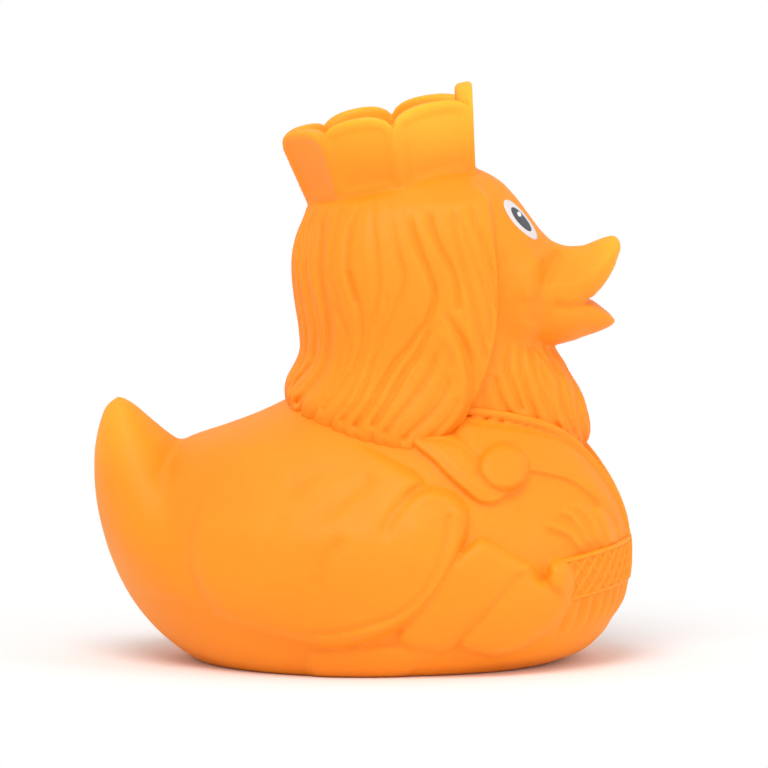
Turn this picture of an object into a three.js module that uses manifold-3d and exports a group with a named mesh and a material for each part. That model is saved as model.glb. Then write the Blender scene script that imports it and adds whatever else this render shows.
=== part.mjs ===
// A bath duck dressed as a bearded king, hollow-cast in one piece of soft vinyl, in millimetres.
// +X is forward (the beak), +Y is the duck's left and +Z is up; the flat base stands on z = 0.
import * as THREE from 'three';
import { LoftGeometry } from 'three/addons/geometries/LoftGeometry.js';
import * as BufferGeometryUtils from 'three/addons/utils/BufferGeometryUtils.js';
import Module from 'manifold-3d';

const wasm = await Module();
wasm.setup();

// Driving dimensions

const ORANGE = 0xf7962c;
const EYE_WHITE = 0xf4f3f1;
const EYE_GREY = 0x3b3f45;

const HUB_X = 0;
const BODY_COLUMNS = 48;
// height, back, front and half width of the body without its tail
const BODY_ROWS = [
  [0, -25.8, 29.2, 26.6],
  [1.8, -29.1, 34.8, 28.8],
  [3.7, -31.5, 37.2, 29.9],
  [7.5, -35.1, 39.7, 31.1],
  [11.3, -37.6, 40.9, 31.9],
  [15.1, -39.2, 41.4, 32.2],
  [18.9, -39.7, 41.4, 31.8],
  [22.7, -38.8, 40.8, 30.8],
  [26.5, -36.8, 39.4, 29],
  [30.3, -33.6, 37.2, 26.8],
  [33, -30.6, 35.2, 24.8],
  [35.1, -27.4, 33.4, 22.8],
  [36.9, -22.1, 31.9, 20.8],
  [38.8, -17, 29.4, 18.6],
  [40.7, -12.9, 26.4, 16.2],
  [44, -7, 20, 12],
];

// height, back edge, widest place, front edge and half width of the upturned tail
const TAIL_ROWS = [
  [12, -36.5, -24, -10, 22],
  [18, -40.3, -27, -14, 20.5],
  [22.7, -41.7, -30, -20, 17.6],
  [26.5, -42.3, -32.4, -25.4, 14.6],
  [30.3, -42.5, -34.6, -28, 11.4],
  [34, -42.3, -36.4, -28.6, 8.2],
  [37, -41.7, -37.4, -32.2, 5.6],
  [39.4, -40.8, -38, -35, 3.4],
  [41, -39.2, -38.4, -37.2, 1.2],
];

// height, back, front and half width of the head under hair, beard and bill
const HEAD_HUB_X = 8;
const HEAD_COLUMNS = 28;
const HEAD_ROWS = [
  [40, -4, 27, 14],
  [46, -6, 28.6, 15.8],
  [50, -7, 28.8, 16.6],
  [60, -7, 28.6, 17.4],
  [64, -7, 28.6, 17.4],
  [66.6, -7, 28.6, 17.2],
  [68.2, -7, 27.9, 16.9],
  [70.1, -7, 26.6, 16.4],
  [72, -6, 25.2, 15.4],
  [73.9, -4, 23.5, 14],
  [75.8, -2, 21.3, 11.6],
  [77.2, 0, 18.6, 8.6],
  [78.2, 3, 14.6, 5],
];

// hair, row by row from the crown down: front edge x, y, z; rear x, z; half width
const HAIR_ROWS = [
  [17.9, 7.6, 77.3, -9.1, 71.6, 13.4],
  [19.4, 12.4, 75.2, -9.5, 69.6, 15.8],
  [20.2, 14.5, 71.8, -10.5, 67, 17.6],
  [20.8, 15.2, 67, -11.4, 63.6, 19],
  [21.2, 15.5, 62, -11.4, 60, 19.9],
  [21.2, 15.7, 57, -11, 56, 20.2],
  [20.8, 16, 52.6, -10.4, 52, 20.2],
  [20, 16.3, 48.8, -10.2, 48.4, 20.4],
  [19, 17, 45.4, -11.6, 45, 21.2],
  [17.6, 18, 42.2, -13, 42.6, 22.2],
];
const HAIR_TIPS = [
  [0, 17.4, 43.4],
  [0.1, 15.6, 40],
  [0.2, 12.6, 36.6],
  [0.32, 8.6, 35],
  [0.46, 3.4, 36.2],
  [0.6, -1.6, 37.8],
  [0.74, -5.6, 38.9],
  [0.88, -9.4, 41.4],
  [1, -12.9, 42.4],
];
const HAIR_HUB_X = 4.5;
const HAIR_REACH = 21;
const HAIR_STRANDS = 16;
const STRAND_COLUMNS = 2;
const STRAND_DEPTH = 0.9;
const STRAND_DRIFT = 0.07;
const HAIR_LIP = 4;

// beard, row by row down: front x, half width, height at the chin, height at the sideburns
const BEARD_HUB_X = 6;
const BEARD_ROWS = [
  [29.2, 16.8, 50.4, 58.4],
  [30.4, 17.4, 49.2, 55.4],
  [32.8, 17.6, 45.4, 50.2],
  [34.8, 17.4, 41.6, 45.2],
  [35.8, 16.8, 37, 40.2],
  [34.6, 15.4, 32.4, 35.6],
];
const BEARD_STRANDS = 9;
const BEARD_COLUMNS = 2;
const BEARD_DEPTH = 0.75;
const BEARD_SWEEP = 1.25;
const BEARD_ROOT_X = 2;
const BEARD_ROOT_Y = 5;

// bill: x, half width, then heights of the top, the rim edge and the bottom
const UPPER_BILL = [
  [24, 10.6, 67.4, 61, 56],
  [28, 10.4, 67.2, 60, 56],
  [30.4, 9.6, 65.8, 59.6, 56.2],
  [32.6, 8.8, 65.2, 60, 56.3],
  [34.8, 8, 65.4, 60.6, 56.7],
  [36.6, 7, 66.1, 61.9, 58],
  [38.2, 5.6, 66.7, 63.4, 59.8],
  [39.6, 3.8, 66.9, 65, 62.2],
  [40.5, 1.8, 66.4, 65.6, 64.6],
];
const LOWER_BILL = [
  [24, 9.8, 56.3, 55, 49.2],
  [30, 9, 56.4, 55, 49.7],
  [33, 8, 56.6, 55.2, 50.5],
  [35.4, 6.8, 56.7, 55.3, 51.3],
  [37.2, 5.2, 55.8, 54.8, 51.9],
  [38.8, 3.2, 54.5, 54, 52.7],
  [39.8, 1.2, 53.7, 53.5, 53.2],
];

const CHEEK = { x: 22.6, y: 9.4, z: 59.4, rx: 4.6, ry: 4.8, rz: 7.2 };

// crown: a ring of seven plates with rounded tops, tipped back
const CROWN_X = 5.1;
const CROWN_Z = 74.5;
const CROWN_TILT = THREE.MathUtils.degToRad(11.1);
const CROWN_FOOT_RADIUS = 14.1;
const CROWN_FLARE = 0.17;
const CROWN_REAR_FLARE = 0.06;
const CROWN_WIDTH_RATIO = 0.9;
const CROWN_WALL = 2.6;
const CROWN_SUNK = 2.4;
const CROWN_NOTCH = 10.4;
const PLATE_TOPS = [14.4, 12.9, 12.8, 12.2];
const CROWN_FLOOR = 1.8;
const CROWN_FLOOR_RADIUS = 11.4;
const CROWN_FLOOR_DEPTH = 5;
const CROWN_CORNERS = [24, 84, 129, 180];
const PLATE_COLUMNS = 6;
const PANEL_DEPTH = 0.55;
const PANEL_MARGIN = 1.7;
const BAND_HEIGHT = 2;

// printed eyes, each a film in a shallow socket
const EYE_TURN = THREE.MathUtils.degToRad(24.7);
const EYE_Z = 70.1;
const EYE_HALF_WIDTH = 2.9;
const EYE_HALF_HEIGHT = 4.15;
const EYE_LEAN = THREE.MathUtils.degToRad(-16);
const PUPIL_HALF_WIDTH = 1.9;
const PUPIL_HALF_HEIGHT = 2.7;
const FILM_TOP = -0.12;
const FILM_THICK = 0.4;
const FILM_GAP = 0.32;
const SOCKET_REACH = 6;

// edges of the laid-on forms lie this deep in the body
const SHEET_SUNK = 0.3;

// wide sleeve over the wing
const SLEEVE_BACK = [
  [-3, 37.2], [-14, 35], [-22.5, 31], [-27, 25], [-27, 16.6], [-23.6, 10.2], [-16.6, 6.8], [-8.4, 5.6],
];
const SLEEVE_FRONT = [
  [3, 35.6], [10.6, 31.4], [15, 30.4], [16.3, 26.6], [14.3, 19.4], [10.4, 12.6], [3.6, 8], [-5, 5.7],
];
const SLEEVE_HEIGHT = 2.7;
const SLEEVE_ALONG = 12;
const SLEEVE_ACROSS = 13;
// the sleeve melts into the back between these heights and places
const SHOULDER_LOW_Z = 22;
const SHOULDER_TOP_Z = 35;
const SHOULDER_REAR_X = -6;
const SHOULDER_FRONT_X = 11;
const SLEEVE_FOLDS = [
  [[-4, 36], [-9.3, 29.9], [-14, 25]],
  [[-8, 36], [-15, 28], [-21, 21]],
  [[-0.2, 32], [-5.5, 23.4], [-7.7, 14.3], [-8.5, 9]],
  [[4.6, 31], [0.4, 24], [-1.2, 16], [-1.8, 10]],
  [[11.4, 30.7], [7.6, 29.1], [4.1, 25.7]],
  [[12.8, 27], [11.4, 20.3], [8.4, 12.7]],
];
const FOLD_DEPTH = 1;
const FOLD_REACH = 1.5;

// feathers of the wing's end, each from its tip back: upper edge, lower edge, height
const UPPER_FEATHER = {
  top: [[26.6, 18.3], [21.8, 21.8], [17.6, 22.4], [12.6, 19.6], [8, 13], [4.6, 7]],
  low: [[27, 17.4], [25, 14.9], [20.6, 11.5], [16.2, 7.2], [12.6, 4.4], [8, 3.6]],
  height: 2.5,
};
const THUMB_FEATHER = {
  top: [[26.2, 16.2], [28, 18.2], [30.6, 19], [33, 18]],
  low: [[26.6, 13.6], [29.2, 12.8], [31.8, 12.9], [33.8, 15]],
  height: 2.6,
};
const LARGE_FEATHER = {
  top: [[32.8, 13.2], [28, 15], [22, 12.6], [17, 8.4], [13, 5]],
  low: [[33.3, 12.2], [31.2, 9], [26, 5.4], [21, 3.2], [15.6, 3.2]],
  height: 1.9,
};
const LOWER_FEATHER = {
  top: [[-9, 3.6], [-5, 4.8], [0, 5], [6, 4.9], [12, 4.4]],
  low: [[-8.8, 2], [-6, 0.9], [0, 0.8], [5, 1], [11.6, 3]],
  height: 1.7,
};
const FEATHERS = [UPPER_FEATHER, THUMB_FEATHER, LARGE_FEATHER, LOWER_FEATHER];

// mantle band with its cord, clasp disc and tab
// edges and cord as degrees from straight ahead, and height
const MANTLE_TOP = [
  [58, 39.9], [44, 38.8], [31, 37.1], [21, 35.1], [14.6, 32], [10.6, 28.4], [7.4, 23.6], [4.8, 19.4],
];
const MANTLE_LOW = [
  [78, 35.4], [64, 32.6], [48, 31.6], [34, 29.8], [27, 27], [19, 23.8], [13, 21.4], [8, 19],
];
const MANTLE_HEIGHT = 1.3;
const MANTLE_ROOT = 2.5;
const CORD = [
  [55, 39.8], [44, 38.7], [31, 37], [21, 35], [15, 32.6], [11.6, 30], [9, 26.6], [6.6, 22.6], [4.6, 19],
];
const CORD_RADIUS = 1.2;
const CORD_OUT = 0.6;
const CORD_SIDES = 5;
const DISC_X = 22;
const DISC_Z = 32.8;
const DISC_RADIUS = 3.9;
const TAB_TOP = [[12, 38.4], [16.4, 35.6], [19.6, 32.4], [22.4, 29]];
const TAB_LOW = [[8, 35.6], [13.2, 31.4], [17.2, 27.8], [21.8, 27.6]];
const TAB_HEIGHT = 1.8;

// belt and gathered tunic, laid round the front
const BELT_HALF_ANGLE = THREE.MathUtils.degToRad(50);
const BELT_TOP_Z = 19.4;
const BELT_LOW_Z = 12;
const BELT_DROP = 4.2;
const BELT_HEIGHT = 1;
const BELT_COLUMNS = 16;
const BELT_LOZENGES = 11;
const LOZENGE_RADIUS = 1.7;
const LOZENGE_HEIGHT = 0.45;
const GATHER_COUNT = 9;
const GATHER_HEIGHT = 0.9;
const GATHER_HALF_ANGLE = THREE.MathUtils.degToRad(46);

// Shared helpers

function profile(rows, column) {
  const positions = rows.map((row) => row[0]);
  const values = rows.map((row) => row[column]);
  const curve = new THREE.CubicInterpolant(positions, values, 1, new Float32Array(1));
  return (at) => curve.evaluate(at)[0];
}

function spline(points) {
  return new THREE.SplineCurve(points.map(([x, y]) => new THREE.Vector2(x, y)));
}

function signedPower(value, power) {
  return Math.sign(value) * Math.abs(value) ** power;
}

function signedVolume(geometry) {
  const at = geometry.getAttribute('position');
  const index = geometry.getIndex().array;
  const [a, b, c] = [new THREE.Vector3(), new THREE.Vector3(), new THREE.Vector3()];
  let sum = 0;
  for (let i = 0; i < index.length; i += 3) {
    a.fromBufferAttribute(at, index[i]);
    b.fromBufferAttribute(at, index[i + 1]);
    c.fromBufferAttribute(at, index[i + 2]);
    sum += a.dot(b.cross(c)) / 6;
  }
  return sum;
}

// welds a closed geometry, drops flat triangles, turns its faces outward and hands it over as a solid
function solid(source) {
  const geometry = new THREE.BufferGeometry().copy(source);
  geometry.deleteAttribute('normal');
  geometry.deleteAttribute('uv');
  if (!geometry.getIndex()) {
    geometry.setIndex([...Array(geometry.getAttribute('position').count).keys()]);
  }
  const welded = BufferGeometryUtils.mergeVertices(geometry, 1e-3);
  const kept = [];
  const index = welded.getIndex().array;
  for (let i = 0; i < index.length; i += 3) {
    const [a, b, c] = [index[i], index[i + 1], index[i + 2]];
    if (a !== b && b !== c && c !== a) kept.push(a, b, c);
  }
  welded.setIndex(kept);
  if (signedVolume(welded) < 0) {
    for (let i = 0; i < kept.length; i += 3) [kept[i], kept[i + 1]] = [kept[i + 1], kept[i]];
    welded.setIndex(kept);
  }
  const mesh = new wasm.Mesh({
    numProp: 3,
    vertProperties: Float32Array.from(welded.getAttribute('position').array),
    triVerts: Uint32Array.from(kept),
  });
  return new wasm.Manifold(mesh);
}

// skins a row of sections and closes both ends on the middle of the end section
function closedLoft(sections) {
  const gathered = (ring) => {
    const middle = new THREE.Vector3();
    ring.forEach((p) => middle.addScaledVector(p, 1 / ring.length));
    return ring.map(() => middle.clone());
  };
  return new LoftGeometry([gathered(sections[0]), ...sections, gathered(sections[sections.length - 1])]);
}

function bothSides(geometry) {
  const other = new THREE.BufferGeometry().copy(geometry);
  other.applyMatrix4(new THREE.Matrix4().makeScale(1, -1, 1));
  return solid(geometry).add(solid(other));
}

function joined(solids) {
  return solids.reduce((sum, part) => sum.add(part));
}

// Body and tail

const bodyBack = profile(BODY_ROWS, 1);
const bodyFront = profile(BODY_ROWS, 2);
const bodyWidth = profile(BODY_ROWS, 3);
const FRONT_POWERS = [0.9, 0.95];
const REAR_POWERS = [1, 1.12];

function bodyPoint(angle, z) {
  const c = Math.cos(angle);
  const s = Math.sin(angle);
  const reach = c > 0 ? bodyFront(z) - HUB_X : HUB_X - bodyBack(z);
  const [px, py] = c > 0 ? FRONT_POWERS : REAR_POWERS;
  return new THREE.Vector3(HUB_X + reach * signedPower(c, px), bodyWidth(z) * signedPower(s, py), z);
}

// half width of the body at a place seen from the side
function bodySide(x, z) {
  const ahead = x > HUB_X;
  const reach = ahead ? bodyFront(z) - HUB_X : HUB_X - bodyBack(z);
  const [px, py] = ahead ? FRONT_POWERS : REAR_POWERS;
  const c = Math.min(Math.abs(x - HUB_X) / reach, 1) ** (1 / px);
  return bodyWidth(z) * Math.sqrt(Math.max(1 - c * c, 0)) ** py;
}

function sideNormal(x, z) {
  const step = 0.4;
  const slopeX = (bodySide(x + step, z) - bodySide(x - step, z)) / (2 * step);
  const slopeZ = (bodySide(x, z + step) - bodySide(x, z - step)) / (2 * step);
  const limit = 2.2;
  return new THREE.Vector3(
    THREE.MathUtils.clamp(-slopeX, -limit, limit),
    -1,
    THREE.MathUtils.clamp(-slopeZ, -limit, limit),
  ).normalize();
}

// a point over the duck's right side, out from the body's surface
function onSide(x, z, out) {
  return new THREE.Vector3(x, -bodySide(x, z), z).addScaledVector(sideNormal(x, z), out);
}

function onFront(angle, z, out) {
  const step = 0.02;
  const here = bodyPoint(angle, z);
  const round = bodyPoint(angle + step, z).sub(bodyPoint(angle - step, z));
  const rise = bodyPoint(angle, z + 0.3).sub(bodyPoint(angle, z - 0.3));
  return here.addScaledVector(round.cross(rise).normalize(), out);
}

function bodySections() {
  return BODY_ROWS.map(([z]) => {
    const ring = [];
    for (let i = 0; i < BODY_COLUMNS; i++) ring.push(bodyPoint((i / BODY_COLUMNS) * 2 * Math.PI, z));
    return ring;
  });
}

function tailSections() {
  const half = 8;
  return TAIL_ROWS.map(([z, back, widest, front, width]) => {
    const ring = [];
    for (let i = 0; i < half * 2; i++) {
      const angle = (i / (half * 2)) * 2 * Math.PI;
      const c = Math.cos(angle);
      const reach = c > 0 ? front - widest : widest - back;
      const hollow = c > 0 ? 1.7 : 1;
      ring.push(new THREE.Vector3(widest + reach * c, width * signedPower(Math.sin(angle), hollow), z));
    }
    return ring;
  });
}

// Head, hair and beard

function headPoint(angle, z, out = 0) {
  const row = [profile(HEAD_ROWS, 1)(z), profile(HEAD_ROWS, 2)(z), profile(HEAD_ROWS, 3)(z)];
  const c = Math.cos(angle);
  const reach = c > 0 ? row[1] - HEAD_HUB_X : HEAD_HUB_X - row[0];
  return new THREE.Vector3(HEAD_HUB_X + (reach + out) * c, (row[2] + out) * Math.sin(angle), z);
}

function headNormal(angle, z) {
  const round = headPoint(angle + 0.02, z).sub(headPoint(angle - 0.02, z));
  const rise = headPoint(angle, z + 0.3).sub(headPoint(angle, z - 0.3));
  return round.cross(rise).normalize();
}

function headGeometry(out) {
  const sections = HEAD_ROWS.map(([z]) => {
    const ring = [];
    for (let i = 0; i < HEAD_COLUMNS; i++) {
      const angle = (i / HEAD_COLUMNS) * 2 * Math.PI;
      ring.push(headPoint(angle, z).addScaledVector(headNormal(angle, z), out));
    }
    return ring;
  });
  return closedLoft(sections);
}

// one side of a hair row, from its front edge to the middle of the back
function hairPoint(row, t) {
  const [frontX, frontY, frontZ, rearX, rearZ, width] = row;
  const hub = HAIR_HUB_X;
  const front = Math.acos(Math.min((frontX - hub) / HAIR_REACH, 0.98));
  const angle = THREE.MathUtils.lerp(front, Math.PI, t);
  const c = Math.cos(angle);
  const reach = c > 0 ? (frontX - hub) / Math.cos(front) : hub - rearX;
  const z = THREE.MathUtils.lerp(frontZ, rearZ, (1 - c) / 2);
  return new THREE.Vector3(hub + reach * c, hairGirth(row, c), z);
}

// half width of a hair row at a share of its reach
function hairGirth([frontX, frontY, , , , width], c) {
  const front = Math.acos(Math.min((frontX - HAIR_HUB_X) / HAIR_REACH, 0.98));
  const edge = frontY / (width * Math.sin(front));
  const pinch = c > 0 ? THREE.MathUtils.lerp(1, edge, (c / Math.cos(front)) ** 2) : 1;
  return width * Math.sqrt(Math.max(1 - c * c, 0)) * pinch;
}

const tipX = profile(HAIR_TIPS, 1);
const tipZ = profile(HAIR_TIPS, 2);

function hairSections() {
  const columns = HAIR_STRANDS * STRAND_COLUMNS;
  const last = HAIR_ROWS.length - 1;
  const sections = [];
  for (let r = 0; r <= last + 1; r++) {
    const row = HAIR_ROWS[Math.min(r, last)];
    const side = [];
    for (let i = 0; i <= columns; i++) {
      const even = i / columns;
      const wave = Math.sin(1.9 * Math.PI * Math.min(r / last, 1) - 0.5);
      const t = even + STRAND_DRIFT * Math.sin(Math.PI * even) * wave;
      const p = hairPoint(row, t);
      const low = THREE.MathUtils.smoothstep(r, 3, last);
      if (low > 0) {
        p.x += (tipX(t) - hairPoint(HAIR_ROWS[last], t).x) * low;
        p.z += (tipZ(t) - hairPoint(HAIR_ROWS[last], t).z) * low;
        const off = p.x - HAIR_HUB_X;
        const share = off / (off > 0 ? HAIR_REACH : HAIR_HUB_X - row[3]);
        p.y = hairGirth(row, THREE.MathUtils.clamp(share, -1, 1));
      }
      const fade = 0.35 + 0.65 * THREE.MathUtils.smoothstep(r, 0, 2);
      const groove = i % STRAND_COLUMNS === 0 && i > 0 && i < columns ? -STRAND_DEPTH * fade : 0;
      const tucked = r > last ? -HAIR_LIP : 0;
      const out = new THREE.Vector2(p.x - HAIR_HUB_X, p.y).normalize().multiplyScalar(groove + tucked);
      p.x += out.x;
      p.y += out.y;
      if (r > last) p.z += 0.8;
      side.push(p);
    }
    const ring = [...side];
    for (let i = columns - 1; i >= 0; i--) ring.push(new THREE.Vector3(side[i].x, -side[i].y, side[i].z));
    sections.push(ring);
  }
  const top = sections[0];
  const centre = new THREE.Vector3(CROWN_X, 0, CROWN_Z + 0.4);
  sections.unshift(top.map((p) => p.clone().lerp(centre, 0.15)));
  return sections;
}

function beardSections() {
  const columns = BEARD_STRANDS * BEARD_COLUMNS;
  return BEARD_ROWS.map(([front, width, chinZ, sideZ], r) => {
    const ring = [];
    for (let i = -columns; i <= columns; i++) {
      const angle = (i / columns) * BEARD_SWEEP;
      const c = Math.cos(angle);
      const cut = i % BEARD_COLUMNS === 0 && Math.abs(i) < columns;
      const groove = cut ? -BEARD_DEPTH * Math.min(1, 0.5 + r / 5) : 0;
      const z = THREE.MathUtils.lerp(chinZ, sideZ, 1 - c);
      ring.push(new THREE.Vector3(
        BEARD_HUB_X + (front - BEARD_HUB_X + groove) * c,
        (width + groove) * Math.sin(angle),
        z,
      ));
    }
    const low = THREE.MathUtils.lerp(chinZ, sideZ, 1 - Math.cos(BEARD_SWEEP));
    ring.push(new THREE.Vector3(BEARD_ROOT_X, BEARD_ROOT_Y, low));
    ring.push(new THREE.Vector3(BEARD_ROOT_X, -BEARD_ROOT_Y, low));
    return ring;
  });
}

// Bill

// half outlines of a bill's section: share of the width, share of the way from top to edge to bottom
const UPPER_SECTION = [
  [0, 0], [0.3, 0.08], [0.6, 0.4], [0.88, 0.78], [1, 1], [0.99, 1.4], [0.93, 1.85], [0.5, 2],
];
const LOWER_SECTION = [[0, 0], [0.5, 0.02], [0.94, 0.2], [1, 1], [0.86, 1.5], [0.5, 1.92]];

function billSections(rows, outline) {
  return rows.map(([x, width, top, edge, bottom]) => {
    const half = outline.map(([share, way]) => {
      const upper = THREE.MathUtils.lerp(top, edge, way);
      const lower = THREE.MathUtils.lerp(edge, bottom, way - 1);
      return new THREE.Vector3(x, width * share, way < 1 ? upper : lower);
    });
    const other = half.slice(1).reverse().map((p) => new THREE.Vector3(p.x, -p.y, p.z));
    return [...half, ...other];
  });
}

// Crown

// radius of a ring of flat plates with their corners at the listed angles
function plateRadius(degrees, corners) {
  for (let k = 0; k + 1 < corners.length; k++) {
    if (degrees <= corners[k + 1] + 1e-6) {
      const half = THREE.MathUtils.degToRad((corners[k + 1] - corners[k]) / 2);
      const off = THREE.MathUtils.degToRad(degrees) - THREE.MathUtils.degToRad(corners[k]) - half;
      return { radius: Math.cos(half) / Math.cos(off), across: (off / half + 1) / 2, top: PLATE_TOPS[k] };
    }
  }
  return { radius: 1, across: 1, top: CROWN_NOTCH };
}

function crownSections() {
  const corners = [-CROWN_CORNERS[0], ...CROWN_CORNERS];
  const half = [];
  for (let k = 0; k + 1 < corners.length; k++) {
    const step = (corners[k + 1] - corners[k]) / PLATE_COLUMNS;
    for (let i = 0; i < PLATE_COLUMNS; i++) half.push(corners[k] + step * i);
  }
  const right = half.slice(PLATE_COLUMNS / 2);
  const left = right.slice(1).reverse().map((a) => -a);
  const angles = [...right, 180, ...left.filter((a) => a > -180)];
  angles.push(0);
  return angles.map((degrees) => {
    const { radius, across, top } = plateRadius(Math.abs(degrees), corners);
    const rise = Math.sqrt(Math.max(1 - (2 * across - 1) ** 2, 0)) ** 1.1;
    const arch = CROWN_NOTCH + (top - CROWN_NOTCH) * rise;
    const inPlate = Math.min(across, 1 - across) > 0.12;
    const sink = inPlate ? PANEL_DEPTH : 0;
    const turn = THREE.MathUtils.degToRad(degrees);
    const point = (out, high) => {
      const rear = THREE.MathUtils.smoothstep(Math.abs(degrees), 110, 180);
      const flare = CROWN_FLARE + CROWN_REAR_FLARE * rear;
      const reach = (CROWN_FOOT_RADIUS + flare * Math.max(high, 0)) * radius + out;
      return new THREE.Vector3(reach * Math.cos(turn), CROWN_WIDTH_RATIO * reach * Math.sin(turn), high);
    };
    const panelTop = arch - PANEL_MARGIN;
    return [
      point(-CROWN_WALL, -CROWN_SUNK),
      point(0.1, -CROWN_SUNK),
      point(0.1, BAND_HEIGHT),
      point(-sink, BAND_HEIGHT + 0.5),
      point(-sink, panelTop - 0.5),
      point(0, panelTop),
      point(0, arch - 0.6),
      point(-0.7, arch),
      point(-CROWN_WALL, arch - 0.8),
    ];
  });
}

const crownStand = new THREE.Matrix4()
  .makeTranslation(CROWN_X, 0, CROWN_Z)
  .multiply(new THREE.Matrix4().makeRotationY(-CROWN_TILT));

function crownGeometry() {
  return new LoftGeometry(crownSections()).applyMatrix4(crownStand);
}

// the floor inside the crown
function floorGeometry() {
  const outline = [
    [0, CROWN_FLOOR + 0.8],
    [CROWN_FLOOR_RADIUS / 2, CROWN_FLOOR + 0.5],
    [CROWN_FLOOR_RADIUS, CROWN_FLOOR - 0.4],
    [CROWN_FLOOR_RADIUS, -CROWN_FLOOR_DEPTH],
    [0, -CROWN_FLOOR_DEPTH],
  ];
  const plug = new THREE.LatheGeometry(outline.map(([r, z]) => new THREE.Vector2(r, z)), 14);
  plug.rotateX(Math.PI / 2).scale(1, CROWN_WIDTH_RATIO, 1);
  return plug.applyMatrix4(crownStand);
}

// Relief laid over the body

// a raised strip between an upper and a lower edge, both drawn from the side
function sideStrip(top, low, height, along, across) {
  const upper = spline(top);
  const lower = spline(low);
  const centre = upper.getPoint(0.5).add(lower.getPoint(0.5)).divideScalar(2);
  const away = sideNormal(centre.x, centre.y);
  const raised = (p, out) => new THREE.Vector3(p.x, -bodySide(p.x, p.y), p.y).addScaledVector(away, out);
  const sections = [];
  for (let i = 0; i <= along; i++) {
    const a = upper.getPoint(i / along);
    const b = lower.getPoint(i / along);
    const outer = [];
    const inner = [];
    for (let j = 0; j <= across; j++) {
      const p = a.clone().lerp(b, j / across);
      outer.push(raised(p, height(i / along, j / across, p)));
      inner.unshift(raised(p, -3));
    }
    sections.push([...outer, ...inner]);
  }
  return closedLoft(sections);
}

function pillow(height, edge = 0.12) {
  return (t, s) => {
    const along = Math.min(Math.min(t, 1 - t) / edge, 1);
    const across = Math.sin(Math.PI * s) ** 0.5;
    return height * Math.max(Math.sqrt(Math.sin(along * Math.PI / 2)) * across, 0) - SHEET_SUNK;
  };
}

const foldLines = SLEEVE_FOLDS.map((points) => points.map(([x, z]) => new THREE.Vector3(x, z, 0)));

function foldDepth(p) {
  const here = new THREE.Vector3(p.x, p.y, 0);
  const nearest = new THREE.Vector3();
  let depth = 0;
  for (const points of foldLines) {
    let distance = Infinity;
    for (let k = 0; k + 1 < points.length; k++) {
      new THREE.Line3(points[k], points[k + 1]).closestPointToPoint(here, true, nearest);
      distance = Math.min(distance, nearest.distanceTo(here));
    }
    depth = Math.max(depth, Math.exp(-((distance / FOLD_REACH) ** 2)));
  }
  return depth * FOLD_DEPTH;
}

function sleeveHeight(t, s, p) {
  const upper = THREE.MathUtils.smoothstep(t, 0, 0.3);
  const across = Math.min(s, 1 - s);
  const edge = Math.sqrt(Math.min(across / 0.07, 1));
  const end = Math.sqrt(Math.min((1 - t) / 0.05, 1));
  const shoulder = THREE.MathUtils.smoothstep(p.y, SHOULDER_LOW_Z, SHOULDER_TOP_Z);
  const rear = 1 - THREE.MathUtils.smoothstep(p.x, SHOULDER_REAR_X, SHOULDER_FRONT_X);
  const full = SLEEVE_HEIGHT * (0.25 + 0.75 * upper) * (1 - shoulder * rear);
  return full * edge * end - foldDepth(p) * edge - SHEET_SUNK;
}

// a band laid round the front between two heights
function frontBand(halfAngle, lowZ, topZ, height, along, across) {
  const sections = [];
  for (let i = 0; i <= along; i++) {
    const angle = THREE.MathUtils.lerp(-halfAngle, halfAngle, i / along);
    const outer = [];
    const inner = [];
    for (let j = 0; j <= across; j++) {
      const z = THREE.MathUtils.lerp(lowZ(angle), topZ(angle), j / across);
      outer.push(onFront(angle, z, height(i, j, angle)));
      inner.unshift(onFront(angle, z, -2.5));
    }
    sections.push([...outer, ...inner]);
  }
  return closedLoft(sections);
}

const dropAt = (angle) => BELT_DROP * (1 - Math.cos(angle)) * 2;
const beltTop = (angle) => BELT_TOP_Z - dropAt(angle);
const beltLow = (angle) => BELT_LOW_Z - dropAt(angle) * 0.8;

// low four-sided studs in two rows round the belt
function lozengeSolids() {
  const studs = [];
  for (let row = 0; row < 2; row++) {
    for (let i = 0; i < BELT_LOZENGES - row; i++) {
      const angle = BELT_HALF_ANGLE * (0.93 - (1.86 * (i + row / 2)) / (BELT_LOZENGES - 1));
      const z = THREE.MathUtils.lerp(beltLow(angle), beltTop(angle), row ? 0.7 : 0.3);
      const stud = new THREE.ConeGeometry(LOZENGE_RADIUS, 2 * LOZENGE_HEIGHT, 4);
      const from = onFront(angle, z, 0);
      const away = onFront(angle, z, 1).sub(from);
      const frame = new THREE.Matrix4().makeBasis(
        away.clone().cross(new THREE.Vector3(0, 0, 1)).normalize(),
        away,
        away.clone().cross(new THREE.Vector3(0, 0, 1)).normalize().cross(away),
      );
      const foot = from.addScaledVector(away, BELT_HEIGHT);
      studs.push(solid(stud.applyMatrix4(frame).translate(foot.x, foot.y, foot.z)));
    }
  }
  return studs;
}

function gatherHeight(i) {
  return i % 3 === 0 ? -0.2 : GATHER_HEIGHT * 0.75;
}

function cordGeometry() {
  const points = CORD.map(([degrees, z]) => onFront(THREE.MathUtils.degToRad(degrees), z, CORD_OUT));
  return new THREE.TubeGeometry(new THREE.CatmullRomCurve3(points), 14, CORD_RADIUS, CORD_SIDES, false);
}

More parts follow.
